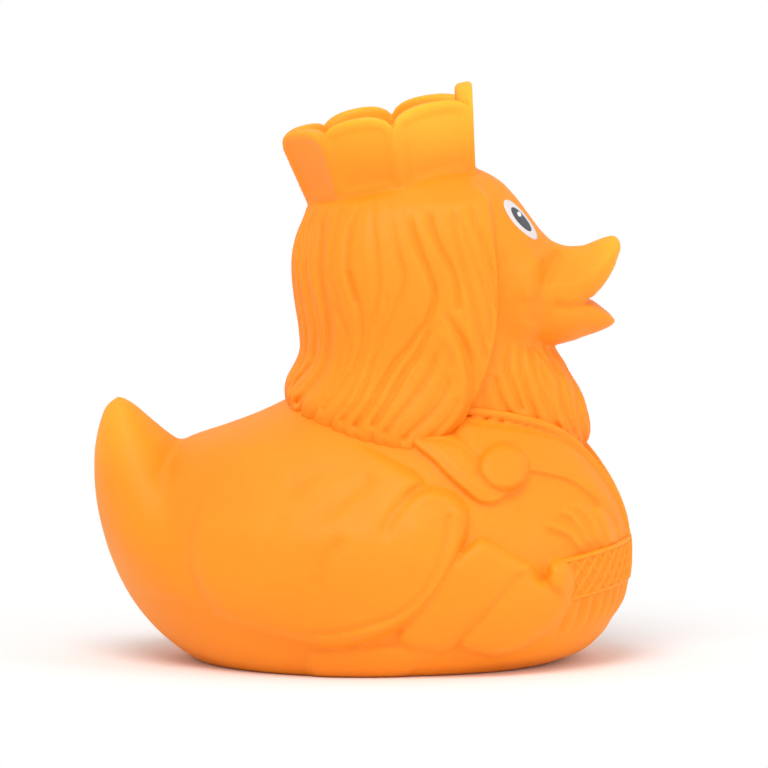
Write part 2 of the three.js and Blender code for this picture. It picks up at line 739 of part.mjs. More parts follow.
// a raised strip between an upper and a lower edge, both drawn as degrees round the front and height
function frontStrip(top, low, height, along, across) {
  const upper = spline(top);
  const lower = spline(low);
  const sections = [];
  for (let i = 0; i <= along; i++) {
    const a = upper.getPoint(i / along);
    const b = lower.getPoint(i / along);
    const outer = [];
    const inner = [];
    for (let j = 0; j <= across; j++) {
      const p = a.clone().lerp(b, j / across);
      const angle = THREE.MathUtils.degToRad(p.x);
      outer.push(onFront(angle, p.y, height(i / along, j / across)));
      inner.unshift(onFront(angle, p.y, -MANTLE_ROOT));
    }
    sections.push([...outer, ...inner]);
  }
  return closedLoft(sections);
}

function capped(tube, radial) {
  const geometry = new THREE.BufferGeometry().copy(tube);
  const count = geometry.getAttribute('position').count;
  const index = [...geometry.getIndex().array];
  const ring = radial + 1;
  for (let i = 1; i + 1 < radial; i++) {
    index.push(0, i, i + 1);
    index.push(count - ring, count - ring + i + 1, count - ring + i);
  }
  geometry.setIndex(index);
  return geometry;
}

function discGeometry() {
  const outline = [[0, 1.9], [2.4, 1.8], [3.4, 1.4], [DISC_RADIUS, 0.7], [DISC_RADIUS, -3], [0, -3]];
  const geometry = new THREE.LatheGeometry(outline.map(([r, z]) => new THREE.Vector2(r, z)), 14);
  const stand = onSide(DISC_X, DISC_Z, 0.9);
  const away = sideNormal(DISC_X, DISC_Z);
  const turn = new THREE.Quaternion().setFromUnitVectors(new THREE.Vector3(0, 1, 0), away);
  return geometry.applyQuaternion(turn).translate(stand.x, stand.y, stand.z);
}

function cheekGeometry() {
  const ball = new THREE.SphereGeometry(1, 10, 7);
  return ball.scale(CHEEK.rx, CHEEK.ry, CHEEK.rz).translate(CHEEK.x, -CHEEK.y, CHEEK.z);
}

// Eyes

function ovalPrism(halfWidth, halfHeight, side) {
  const lean = side * EYE_LEAN;
  const shape = new THREE.Shape().absellipse(0, 0, halfWidth, halfHeight, 0, 2 * Math.PI, false, lean);
  const geometry = new THREE.ExtrudeGeometry(shape, {
    depth: SOCKET_REACH,
    bevelEnabled: false,
    curveSegments: 12,
  });
  const normal = headNormal(-side * EYE_TURN, EYE_Z);
  const across = new THREE.Vector3(0, 0, 1).cross(normal).normalize();
  const frame = new THREE.Matrix4().makeBasis(across, normal.clone().cross(across), normal);
  const foot = headPoint(-side * EYE_TURN, EYE_Z).addScaledVector(normal, -SOCKET_REACH / 2);
  return solid(geometry.applyMatrix4(frame).translate(foot.x, foot.y, foot.z));
}

const filmOuter = solid(headGeometry(FILM_TOP));
const filmInner = solid(headGeometry(FILM_TOP - FILM_THICK));
const socketFloor = solid(headGeometry(FILM_TOP - FILM_THICK - FILM_GAP));

function eyeParts(side) {
  const film = (prism) => prism.intersect(filmOuter).subtract(filmInner);
  const hole = ovalPrism(PUPIL_HALF_WIDTH + FILM_GAP, PUPIL_HALF_HEIGHT + FILM_GAP, side);
  return {
    socket: ovalPrism(EYE_HALF_WIDTH + FILM_GAP, EYE_HALF_HEIGHT + FILM_GAP, side).subtract(socketFloor),
    white: film(ovalPrism(EYE_HALF_WIDTH, EYE_HALF_HEIGHT, side)).subtract(hole),
    pupil: film(ovalPrism(PUPIL_HALF_WIDTH, PUPIL_HALF_HEIGHT, side)),
  };
}

// The moulded duck

const rightEye = eyeParts(1);
const leftEye = eyeParts(-1);

const duck = joined([
  solid(closedLoft(bodySections())),
  solid(closedLoft(tailSections())),
  solid(headGeometry(0)),
  solid(closedLoft(hairSections())),
  solid(closedLoft(beardSections())),
  solid(closedLoft(billSections(UPPER_BILL, UPPER_SECTION))),
  solid(closedLoft(billSections(LOWER_BILL, LOWER_SECTION))),
  bothSides(cheekGeometry()),
  solid(crownGeometry()),
  solid(floorGeometry()),
  bothSides(sideStrip(SLEEVE_BACK, SLEEVE_FRONT, sleeveHeight, SLEEVE_ALONG, SLEEVE_ACROSS)),
  ...FEATHERS.map(({ top, low, height }) => bothSides(sideStrip(top, low, pillow(height), 5, 4))),
  bothSides(frontStrip(MANTLE_TOP, MANTLE_LOW, pillow(MANTLE_HEIGHT, 0.06), 12, 3)),
  bothSides(capped(cordGeometry(), CORD_SIDES)),
  bothSides(sideStrip(TAB_TOP, TAB_LOW, pillow(TAB_HEIGHT), 7, 4)),
  bothSides(discGeometry()),
  solid(frontBand(BELT_HALF_ANGLE, beltLow, beltTop, () => BELT_HEIGHT, BELT_COLUMNS, 1)),
  ...lozengeSolids(),
  solid(frontBand(GATHER_HALF_ANGLE, () => 3.4, beltLow, gatherHeight, GATHER_COUNT * 3, 2)),
]).subtract(rightEye.socket).subtract(leftEye.socket);

// The finished part

function meshOf(part, name, colour, roughness) {
  const { vertProperties, triVerts } = part.getMesh();
  const geometry = new THREE.BufferGeometry();
  geometry.setAttribute('position', new THREE.BufferAttribute(Float32Array.from(vertProperties), 3));
  geometry.setIndex(new THREE.BufferAttribute(Uint32Array.from(triVerts), 1));
  geometry.computeVertexNormals();
  const mesh = new THREE.Mesh(geometry, new THREE.MeshStandardMaterial({ color: colour, roughness }));
  mesh.name = name;
  return mesh;
}

const group = new THREE.Group();
group.name = 'rubber_duck';
group.add(meshOf(duck, 'duck_body', ORANGE, 0.55));
group.add(meshOf(rightEye.white, 'eye_white_right', EYE_WHITE, 0.5));
group.add(meshOf(leftEye.white, 'eye_white_left', EYE_WHITE, 0.5));
group.add(meshOf(rightEye.pupil, 'pupil_right', EYE_GREY, 0.45));
group.add(meshOf(leftEye.pupil, 'pupil_left', EYE_GREY, 0.45));

export default group;
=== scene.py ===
"""A soft vinyl bath duck dressed as a bearded king, on a pale floor.

Lengths in the code are in millimetres.
"""

import math

import bpy
import numpy as np
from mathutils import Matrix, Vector


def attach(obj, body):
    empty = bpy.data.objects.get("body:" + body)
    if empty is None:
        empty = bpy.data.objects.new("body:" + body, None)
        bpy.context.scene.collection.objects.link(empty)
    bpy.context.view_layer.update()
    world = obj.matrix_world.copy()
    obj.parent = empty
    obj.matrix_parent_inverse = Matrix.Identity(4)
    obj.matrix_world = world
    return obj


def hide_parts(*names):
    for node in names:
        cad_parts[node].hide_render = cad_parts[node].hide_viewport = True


MM = 0.001

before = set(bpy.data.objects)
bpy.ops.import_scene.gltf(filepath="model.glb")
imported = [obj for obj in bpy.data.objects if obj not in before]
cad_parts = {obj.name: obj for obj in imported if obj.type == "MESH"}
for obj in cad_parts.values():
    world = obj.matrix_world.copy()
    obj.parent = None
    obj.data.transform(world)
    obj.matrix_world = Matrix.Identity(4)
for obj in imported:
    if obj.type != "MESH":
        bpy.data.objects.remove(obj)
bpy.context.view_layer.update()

# Spacing of the fine surface grids of the body and of the head
BODY_STEP = 0.45
HEAD_STEP = 0.36

# Section rows, as in the solid model: height, back, front, half width
BODY_ROWS = np.array([
    [-3, -22, 25, 24],
    [0, -26.4, 30.2, 27],
    [1.8, -29.1, 34.9, 28.8],
    [3.7, -31.5, 37.3, 29.9],
    [7.5, -35.1, 39.8, 31.1],
    [11.3, -37.6, 41, 31.9],
    [15.1, -39.2, 41.5, 32.2],
    [18.9, -39.7, 41.5, 31.8],
    [22.7, -38.8, 40.9, 30.8],
    [26.5, -36.8, 39.5, 29],
    [30.3, -33.6, 37.3, 26.8],
    [33, -30.6, 35.3, 24.8],
    [35.1, -27.4, 33.5, 22.8],
    [36.9, -22.1, 31.9, 20.8],
    [38.8, -17, 29.4, 18.6],
    [40.7, -12.9, 26.4, 16.2],
    [44, -7, 20, 12],
    [47, -3, 12, 6],
])

# height where the body is closed inside the head, and the powers of its sections
BODY_TOP = 46.5
BACK_POWER = 1.12
FRONT_POWER = 0.95
CHEST_POWER = 2 / 0.9

TAIL_TOP = 41.6
# height, back edge, widest place, front edge, half width
TAIL_ROWS = np.array([
    [12, -36.5, -24, -10, 22],
    [18, -40.3, -27, -14, 20.5],
    [22.7, -41.7, -30, -20, 17.6],
    [26.5, -42.3, -32.4, -25.4, 14.6],
    [30.3, -42.5, -34.6, -28, 11.4],
    [34, -42.3, -36.4, -28.8, 8.4],
    [37, -41.7, -37.4, -32.2, 6],
    [39.4, -40.9, -38, -35, 4],
    [41.4, -39.9, -38.3, -36.9, 2.2],
])

HEAD_HUB = 8.0
# height, back, front, half width
HEAD_ROWS = np.array([
    [40, -4, 27, 14],
    [46, -6, 28.6, 15.8],
    [50, -7, 28.8, 16.6],
    [60, -7, 28.6, 17.4],
    [64, -7, 28.6, 17.4],
    [66.6, -7, 28.6, 17.2],
    [68.2, -7, 27.7, 16.9],
    [70.1, -7, 26.35, 16.4],
    [72, -6, 24.95, 15.6],
    [73.9, -4, 23.4, 14.4],
    [75.8, -2, 21.4, 12.4],
    [77.4, 0, 18.4, 9.4],
    [79, 4, 13, 4],
])

HAIR_HUB = 4.5
HAIR_REACH = 21.0
# height at the front edge, front edge x, front edge y, rear x, rear height, half width
HAIR_ROWS = np.array([
    [30, 15, 18, -14, 30, 24],
    [36, 16, 18.2, -14.4, 36.4, 23],
    [42.2, 17.8, 18, -13.5, 42.6, 22],
    [45.4, 19, 17, -12, 45, 21.1],
    [48.8, 20, 16.3, -10.3, 48.4, 20.4],
    [52.6, 20.8, 16, -10.3, 52, 20.2],
    [57, 21.2, 15.7, -10.9, 56, 20.2],
    [62, 21.2, 15.5, -11.4, 60, 19.9],
    [67, 20.8, 15.2, -11.4, 63.6, 19],
    [71.8, 20.2, 14.5, -10.5, 67, 17.6],
    [75.2, 19.4, 12.6, -9.3, 69.6, 15.9],
    [77.3, 18, 8.6, -8.7, 71.6, 13.8],
    [79, 17, 5, -8.8, 73, 12],
])

# What is marked as drawn is drawn flat, as x and rise in the side view from VIEW_RISE above
VIEW_RISE = math.radians(5.2)
# lower edge of the hair, drawn
HAIR_HEM = np.array([
    [-16, 45], [-13.1, 44.5], [-12.1, 43.6], [-11.3, 41.2], [-9.2, 39.6], [-6.8, 38.4], [-4.4, 37.6],
    [-1.7, 36.4], [2.3, 35.8], [5.8, 34.4], [8.6, 33.4], [12.6, 34.1], [15.3, 37], [16.9, 40.2],
    [18.9, 42.8], [20.5, 46], [24, 50],
])
# how far the hem falls for each millimetre inwards, so that the locks end on the body without a gap
HEM_SLOPE = 2.0
# grooves in the hair, drawn: points, half width, depth
HAIR_GROOVES = [
    ([(-8.2, 69.6), (-9.2, 67.1), (-9.5, 63.1), (-9, 58.4), (-8.1, 53.6), (-7.4, 49.7), (-8.1, 46.5),
      (-10, 44.2), (-11.6, 43)], 0.32, 0.5),
    ([(-5.7, 71.4), (-6.4, 68.6), (-6.6, 65.5), (-6.8, 61.5), (-6.2, 56.8), (-5.5, 52.8), (-5.5, 48.9),
      (-6.2, 45.7), (-7.9, 43.4), (-10.3, 40.5)], 0.5, 0.85),
    ([(-8.8, 60), (-7.4, 55.2), (-6.6, 51.3), (-6.8, 47.7), (-8.4, 44.5), (-10.3, 42.6)], 0.3, 0.4),
    ([(-1.1, 70.4), (-2.1, 67.1), (-2.5, 61.9), (-1.9, 59.2), (-0.9, 56.4), (-0.2, 53.2), (-0.2, 49.7),
      (-1.1, 46.1), (-3, 43.4), (-5, 41), (-6.2, 39.4)], 0.42, 0.6),
    ([(-2.4, 61.5), (-1.9, 59.2), (-0.9, 56.2)], 0.4, 0.9),
    ([(-5.2, 56.8), (-4, 54.4), (-2.8, 52.1), (-2.1, 48.9), (-2.8, 45.7), (-4.6, 43),
      (-6.6, 40.6)], 0.34, 0.45),
    ([(1.6, 69.6), (1.9, 66.3), (2.2, 62.3), (2.5, 58.4), (1.9, 54.8), (0.9, 51.7), (0.5, 48.9),
      (-0.7, 45.3), (-2.1, 42.2), (-4, 39)], 0.36, 0.5),
    ([(4.7, 67.5), (5.5, 63.5), (6.4, 60.3), (5.8, 56.8), (4.6, 53.6), (2.9, 49.9), (1.4, 46.1), (0.5, 43.4),
      (-1.5, 39.8), (-3.2, 37.6)], 0.4, 0.6),
    ([(3.3, 58.4), (3.9, 55.2), (2.7, 51.7), (1.3, 48.1)], 0.32, 0.35),
    ([(6.6, 72.6), (7.4, 68.6), (8.9, 63.9), (10.4, 60.3), (11.2, 57.2), (10.3, 53.6), (8.4, 50.7),
      (6.2, 47.9), (4.3, 45.5), (2.7, 42.8), (0.8, 39.4), (-1.1, 36.8)], 0.48, 0.85),
    ([(10.1, 71.8), (10.8, 67.7), (12.2, 64.1), (13.7, 61.5), (14.7, 58.4), (14.9, 55.2)], 0.45, 0.75),
    ([(13.8, 72.4), (14.3, 68.6), (14.8, 65.1), (15.9, 60.7), (16.9, 56.8), (17.8, 53.2), (18.8, 49.5),
      (19.2, 47.3)], 0.42, 0.6),
    ([(16.9, 72.4), (17.5, 68.6), (18.9, 65.3), (20, 61.9), (20.7, 58.4), (20.9, 55.2)], 0.38, 0.55),
    ([(15.3, 71), (15.9, 67.1), (16.9, 63.9), (18.3, 60.3), (19.5, 56.8), (20.1, 53.2),
      (19.7, 49.7)], 0.34, 0.4),
    ([(11.6, 56.4), (14.3, 52.1), (15.9, 48.9), (16.7, 45.3), (17, 42.2), (16.3, 39), (14.7, 36.5),
      (13, 34.9)], 0.5, 0.8),
    ([(11.2, 53.6), (9.7, 50.5), (8.4, 47.7), (6.4, 44.9), (5, 42.2), (3.1, 39), (1.7, 37)], 0.5, 0.85),
    ([(7.4, 46.5), (5.8, 44.2), (4.6, 41.8)], 0.5, 0.5),
    ([(11.7, 49.5), (10.9, 46.1), (9.2, 42.8), (6.8, 39.8), (4.7, 37.2), (3.6, 35.7)], 0.42, 0.65),
    ([(13.5, 45.3), (13, 42.2), (11, 39), (8.2, 36.3), (6.4, 34.7)], 0.42, 0.65),
    ([(15.3, 42.2), (14.3, 39), (12.2, 36.5), (9.8, 34.3), (8.6, 33.3)], 0.4, 0.55),
]
# raised lines in the hair, drawn: points, half width, height
HAIR_RIDGES = [
    ([(19, 75.9), (19.7, 71), (20.5, 65.9), (21.2, 60.3), (21.3, 55.2), (20.6, 50.5), (19.4, 46.1),
      (18.7, 42.6)], 0.6, 0.4),
    ([(15.9, 53.6), (17.1, 49.7), (18.5, 46.5), (18.9, 43.4)], 0.5, 0.4),
    ([(11.4, 51.7), (13.9, 49.3), (15.6, 45.3), (15.5, 41.4), (13.7, 37.8), (10.6, 35.1)], 0.8, 0.4),
]
# grooves in the beard, drawn
BEARD_GROOVES = [
    ([(21.8, 54.8), (22.6, 51.7), (22.8, 48.5), (22.6, 45.3), (23.8, 42.2), (24.8, 39.4)], 0.42, 0.8),
    ([(20.7, 45.3), (21.1, 42.2), (22.4, 39.4), (23.4, 38.2)], 0.38, 0.65),
    ([(24.4, 53.6), (25, 50.5), (24.8, 47.3), (25.2, 44.2), (26, 41), (27.2, 37.8)], 0.42, 0.8),
    ([(25.6, 51.3), (26.4, 48.1), (27.2, 45.3), (28.4, 41.8), (29.5, 38.6), (30.7, 36.3)], 0.42, 0.8),
    ([(27.8, 47.3), (28.6, 44.2), (29.5, 41), (30.3, 38.2)], 0.36, 0.6),
    ([(28.8, 48.1), (30.7, 44.9), (31.3, 41.4), (31.9, 38.6), (33.3, 35.5)], 0.42, 0.7),
    ([(30.7, 47.3), (32.7, 44.2), (33.7, 41), (34.1, 37.4), (34.7, 34.7)], 0.4, 0.6),
]

# run of the fine strands over the hair: x of every second strand at each of these heights
LOCK_HEIGHTS = np.array([38.6, 43.4, 48.1, 52.9, 57.6, 62.0, 67.1, 72.5])
LOCKS = np.array([
    [-13.3, -12, -8.4, -7.8, -8.8, -9.5, -9.2, -7.1],
    [-11.4, -9.2, -6.4, -5.5, -6.1, -6.7, -6.5, -5.6],
    [-8.8, -5.8, -3.8, -2.8, -4.1, -5.6, -4.4, -3.3],
    [-5.4, -2.8, -0.9, 0, -0.6, -2.5, -2.7, -0.6],
    [-3.3, -1.2, 0.5, 1.5, 2.2, 2.2, 1.9, 1.6],
    [-1.5, 0.8, 2.6, 3.9, 6, 6.5, 5.2, 4.1],
    [1.3, 3.6, 6.6, 9.8, 11.1, 10.4, 8.7, 6.6],
    [3.3, 5.9, 8.9, 11.4, 13, 12.3, 10, 7.9],
    [5.7, 8.8, 11.1, 13.3, 14.7, 14.2, 11.2, 9.3],
    [8.2, 11.6, 13.4, 14.4, 15.5, 15, 12.6, 11.1],
    [15.6, 17.2, 16.5, 15.6, 16.5, 15.8, 14, 12.8],
    [17.8, 18.6, 18.4, 17.9, 17.5, 16.7, 15.5, 14.4],
    [19.2, 19.8, 19.6, 20.2, 20.4, 19.8, 18.6, 17.2],
])
# locks between the middle of the back and the first of these strands
REAR_LOCKS = 3
# deepest cut at the back, and the share of it that the sides keep
LOCK_DEPTH = 0.8
LOCK_SIDE_SHARE = 0.42

BEARD_HUB = 6.0
# height, front x, half width of the beard
BEARD_ROWS = np.array([
    [28, 31, 13],
    [31, 34.2, 14.8],
    [33.4, 35.6, 15.8],
    [37, 36, 16.8],
    [41.6, 34.9, 17.4],
    [45.4, 33, 17.5],
    [49.2, 30.5, 17.4],
    [52, 29.3, 17.2],
    [58, 28.6, 17.2],
])
# deepest cut in front, and the share of it that the sides keep
BEARD_DEPTH = 0.8
BEARD_SIDE_SHARE = 0.25
# x and height of a place on the beard's upper edge, the edge's slope and its end
BEARD_TOP = (30.2, 50.2, 0.78, 59)
# x and height of a place on the beard's lower edge, and its slope
BEARD_HEM = (18.8, 41.3, 0.385)

# Bill: x, half width, heights of the top, the edge and the bottom
UPPER_BILL = np.array([
    [22, 10.6, 67.6, 61, 54.6],
    [28, 10.4, 67.2, 60.2, 54.6],
    [30.4, 9.7, 65.9, 59.8, 54.8],
    [32.6, 8.9, 65.3, 60, 55.2],
    [34.8, 8.1, 65.5, 60.6, 56.3],
    [36.6, 7.1, 66.2, 61.9, 58],
    [38.2, 5.8, 66.8, 63.4, 59.8],
    [39.6, 4.2, 67, 65, 62.2],
    [40.6, 2.6, 66.6, 65.7, 64.3],
])
LOWER_BILL = np.array([
    [22, 10, 57.6, 55, 49.2],
    [30, 9.4, 57.6, 55, 49.7],
    [33, 8.6, 57.5, 55.2, 50.5],
    [35.4, 7.1, 57.1, 55.4, 51.3],
    [37.2, 5.4, 55.8, 54.8, 51.9],
    [38.8, 3.5, 54.6, 54, 52.6],
    [39.8, 1.8, 53.9, 53.5, 53],
])

# middle and half sizes of a cheek
CHEEK = (24.0, 9.0, 58.8, 4.6, 4.7, 7.4)
# grooves and raised lines of the face, drawn
FACE_GROOVES = [
    ([(30.9, 64.6), (29.8, 61.9), (27.9, 58.4)], 0.7, 0.7),
    ([(28.8, 59.6), (26.8, 55.2), (26, 52.8)], 0.7, 0.35),
    ([(29.6, 55.8), (32.7, 55.3), (36.6, 56.8)], 0.5, 0.5),
]
FACE_RIDGES = [
    ([(29.9, 65.1), (28, 63.5), (26.4, 61.5), (25.8, 58.4), (26, 56)], 1.0, 0.45),
]

# Crown
CROWN = np.array([5.1, 0.0, 74.5])
CROWN_TILT = math.radians(11.1)
CROWN_RADIUS = 14.1
CROWN_FLARE = 0.17
CROWN_REAR_FLARE = 0.06
CROWN_RATIO = 0.9
CROWN_WALL = 2.6
CROWN_FOOT = 2.2
# floor inside the crown
WELL_RADIUS = 12.2
WELL_TOP = 2.4
WELL_DEPTH = 4.0
CROWN_NOTCH = 10.0
PLATE_CORNERS = [-24, 24, 84, 129, 180]
PLATE_TOPS = [14.4, 12.9, 12.8, 12.2]
PANEL_DEPTH = 0.32

# Clothes on the body, drawn
SLEEVE = [
    (-27.1, 17.8), (-26.8, 14.1), (-25.3, 10.5), (-23.1, 7.7), (-20.5, 6), (-16.8, 4.7), (-12.6, 3.7),
    (-7.3, 2.4), (-3.1, 2.3), (0.6, 3.1), (4.3, 4.5), (8, 6.7), (11.1, 9.7), (13.5, 13.1), (15.3, 16.8),
    (16.3, 19.9), (16.7, 22.6), (15.8, 24.8), (13.2, 26.7), (10.6, 27.6), (6.4, 30.5), (-4.2, 34.7),
    (-17.9, 32.6), (-25.2, 25.2),
]
SLEEVE_HEIGHT = 2.6
HEM = [
    (13.2, 22.6), (13, 19.9), (12.2, 16.8), (10.6, 12.6), (8, 9.4), (4.8, 7.1), (0.1, 5.6), (-4.2, 4.6),
    (-7.8, 4.5),
]
# grooves of the sleeve: points, reach, depth
FOLDS = [
    ([(5.3, 23.6), (8.5, 26.9), (11.6, 27.9), (14, 27.4), (15.9, 26)], 0.7, 0.7),
    ([(11.6, 27.9), (8.5, 26.9), (5.6, 24.1), (3.8, 21.5), (2.8, 18.4)], 1.0, 0.7),
    ([(-3.4, 33.6), (-6.8, 31), (-10, 28.4), (-11.8, 24.1)], 1.2, 0.6),
    ([(2.7, 29.7), (-1, 27), (-4.2, 24.4), (-6.5, 21.5)], 1.3, 0.5),
    ([(-2.1, 19.9), (-4.9, 17.3), (-6.8, 14.1), (-7.8, 9.4)], 1.2, 0.7),
    ([(-11.5, 23.6), (-14.7, 19.9), (-16.3, 16.2)], 1.5, 0.25),
]
# raised lines of the sleeve: points, reach, height
SWELLS = [
    ([(8.8, 25.2), (11.4, 26), (14.4, 24.6), (15, 21)], 1.0, 0.5),
    ([(15, 20), (13.6, 16), (11, 11.6), (7, 7.4), (1, 4.6), (-5, 3.4)], 0.8, 0.3),
    ([(9.6, 22.6), (7.6, 18.6), (6.4, 14)], 1.6, 0.3),
]
WING = [
    (14.6, 16.6), (15.6, 17.6), (18, 19.3), (20.2, 18.9), (22.3, 17.5), (24.9, 15.9), (26.6, 15.1),
    (26, 13.6), (23.9, 11.9), (21.2, 8.9), (18.5, 6.1), (15.4, 3.1), (12.7, 1.4), (10.4, 1.4), (7.4, 2),
    (5.3, 4.1), (9, 10),
]
WING_HEIGHT = 2.6
LARGE_FEATHER = [
    (22, 13), (24.3, 14.7), (26.5, 14.9), (27.6, 13), (29.8, 12), (32.1, 10.6), (33, 9.8), (32.2, 7.7),
    (29.5, 4.7), (25.9, 2.4), (23.2, 1.2), (20.6, 0.7), (18, 1.2), (15.1, 2.2), (15.3, 4.1), (19, 8.3),
]
THUMB = [
    (28.4, 13.6), (29.2, 15.5), (31.0, 16.1), (32.6, 15.4), (33.5, 13.6), (33.5, 11.2), (32.2, 9.4),
    (30, 9.6), (28.4, 11.6),
]
# middle and half sizes of the dent behind the thumb feather
THUMB_DENT = (28.1, 13.7, 1.2, 1.0)
LOWER_FEATHER = [
    (-8, 1.9), (-8.8, 0.2), (-8.6, -1.8), (-6.3, -4.4), (0.1, -4.6), (6, -3), (9.5, 0), (12.7, 1.4),
    (10.6, 2.3), (3.2, 2.8), (-4.2, 2.2),
]
# outline, height, rounding of the edge
FEATHERS = [(LARGE_FEATHER, 2.1, 0.5), (THUMB, 3.0, 0.9), (LOWER_FEATHER, 0.8, 0.8)]
TAB = [
    (6.5, 35.4), (11.1, 31), (12.7, 29.3), (15.9, 26.4), (18.2, 24.8), (20.5, 24.6), (22.3, 25.7),
    (22.6, 27.2), (19.5, 29.7), (18.2, 32.3), (15.9, 34.7), (12.7, 35.7),
]
TAB_HEIGHT = 1.4
# middle and half sizes of the clasp
DISC = (22.0, 30.4, 4.25, 3.95)
DISC_HEIGHT = 2.4
# folds above the belt
TUNIC_RIDGES = [
    [(32.5, 25.2), (34.3, 23.8), (36.4, 21.4), (37.6, 17.4)],
    [(36.6, 24.2), (38, 21.9), (39.4, 17.6)],
    [(28.4, 21.4), (30.3, 21), (32.8, 19.8), (34.8, 16.8)],
    [(30.5, 23.9), (33.4, 22.3), (36.1, 17.6)],
]

# Mantle and cord round the chest: degrees from straight ahead, height
MANTLE = [
    (60, 40.2), (44, 38.9), (31, 37.2), (21, 35.2), (14.6, 32), (10.6, 28.4), (7.4, 23.6), (4.8, 18.6),
    (8, 18.4), (13, 21), (19, 23.6), (27, 26.8), (34, 29.6), (48, 31.6), (60, 32.8), (64, 36), (62, 40),
]
MANTLE_HEIGHT = 1.1
# millimetres along the chest for each radian
FRONT_REACH = 37.0
CORD_PATH = [
    (57, 39.9), (44, 38.7), (31, 37), (21, 35), (15, 32.6), (11.6, 30), (9, 26.6), (6.6, 22.6), (4.6, 18.8),
]
CORD_OUT = 1.25
CORD_RADIUS = 0.85

# Belt: height of its middle in front, fall towards the sides, half height, half angle, thickness
BELT_Z = 16.4
BELT_DROP = 6.4
BELT_HALF = 3.5
BELT_ANGLE = 0.8
BELT_HEIGHT = 0.6
# turn between two columns of its mesh, and the rows across it
BELT_TURN = 0.16 / 38
BELT_LINES = 48
LATTICE_PITCH = 2.9
LATTICE_LINE = 0.42
LATTICE_HEIGHT = 0.42

# Printed eyes
EYE_X = 24.9
EYE_Z = 70.1
EYE_LEAN = math.radians(30)
GLINT = (24.55, 70.85)
GLINT_RADIUS = 0.42
GLINT_COLOUR = (0.85, 0.84, 0.83, 1)
# half width, half height and lift of the white and of the dark
WHITE_OVAL = (2.7, 4.1, 0.03)
DARK_OVAL = (1.6, 2.45, 0.07)
# how deep the films reach into the face
FILM_ROOT = 0.15
FILM_RINGS = 10
FILM_SPOKES = 40

# reach of the floor's own colour, and where it has turned white
FLOOR_NEAR = 50
FLOOR_FAR = 130
WHITE = (1, 1, 1, 1)


# Shared helpers

def smooth_rows(rows, column, at):
    """Cubic Hermite interpolation of one column of rows, at any array of places."""
    xs = rows[:, 0]
    ys = rows[:, column]
    slopes = np.gradient(ys, xs)
    at = np.clip(at, xs[0], xs[-1])
    i = np.clip(np.searchsorted(xs, at, side="right") - 1, 0, len(xs) - 2)
    width = xs[i + 1] - xs[i]
    t = (at - xs[i]) / width
    return (
        ys[i] * (1 + 2 * t) * (1 - t) ** 2
        + ys[i + 1] * t * t * (3 - 2 * t)
        + slopes[i] * width * t * (1 - t) ** 2
        - slopes[i + 1] * width * t * t * (1 - t)
    )


def smoothstep(a, b, x):
    """Rises smoothly from 0 at a to 1 at b."""
    t = np.clip((x - a) / (b - a), 0, 1)
    return t * t * (3 - 2 * t)


def blend_min(a, b, k):
    """The smaller of two fields, with a fillet about k wide between them."""
    h = np.clip(0.5 + 0.5 * (b - a) / k, 0, 1)
    return b + (a - b) * h - k * h * (1 - h)


def blend_max(a, b, k):
    return -blend_min(-a, -b, k)


def steepness(g, field):
    gx, gy, gz = np.gradient(field, g.step)
    return np.sqrt(gx * gx + gy * gy + gz * gz)


def distance_like(g, field):
    """Scale a field so that it grows by one per millimetre near its zero surface."""
    return field / np.maximum(steepness(g, field), 0.02)


class Grid:
    """A box of evenly spaced places, over half of the width."""

    def __init__(self, low, high, step):
        self.step = step
        self.xs = np.arange(low[0], high[0] + step / 2, step)
        self.ys = np.arange(low[1], high[1] + step / 2, step)
        self.zs = np.arange(low[2], high[2] + step / 2, step)
        self.x = self.xs[:, None, None]
        self.y = self.ys[None, :, None]
        self.z = self.zs[None, None, :]
        self.rise = self.z * math.cos(VIEW_RISE) - self.y * math.sin(VIEW_RISE)
        self.side_x = self.xs[:, None]
        self.side_z = self.zs[None, :]
        self.shape = (len(self.xs), len(self.ys), len(self.zs))

    def full(self, field):
        return np.broadcast_to(field, self.shape)


def curve(points, cuts):
    """A smooth curve from the second of the points to the last but one."""
    out = []
    for p0, p1, p2, p3 in zip(points, points[1:], points[2:], points[3:]):
        for t in np.arange(cuts) / cuts:
            out.append(0.5 * (2 * p1 + (p2 - p0) * t + (2 * p0 - 5 * p1 + 4 * p2 - p3) * t * t
                              + (3 * p1 - p0 - 3 * p2 + p3) * t ** 3))
    return out + [points[-2]]


def open_line(points, cuts=5):
    """A smooth line through points."""
    pts = [np.array(p, float) for p in points]
    return curve([2 * pts[0] - pts[1]] + pts + [2 * pts[-1] - pts[-2]], cuts)


def line_place(px, pz, points):
    """Distance to a line through points, and the share of it that lies behind the nearest place."""
    best = np.full(np.broadcast(px, pz).shape, 1e9)
    along = np.zeros(best.shape)
    count = len(points) - 1
    for i, ((ax, az), (bx, bz)) in enumerate(zip(points, points[1:])):
        dx = bx - ax
        dz = bz - az
        t = np.clip(((px - ax) * dx + (pz - az) * dz) / (dx * dx + dz * dz), 0, 1)
        off = (px - ax - t * dx) ** 2 + (pz - az - t * dz) ** 2
        along = np.where(off < best, (i + t) / count, along)
        best = np.minimum(best, off)
    return np.sqrt(best), along


def crease(px, pz, points, reach, fade=0.25):
    """A soft line that fades towards both ends, 1 at its middle."""
    distance, along = line_place(px, pz, open_line(points))
    return np.exp(-(distance / reach) ** 2) * smoothstep(0, fade, along) * smoothstep(1, 1 - fade, along)


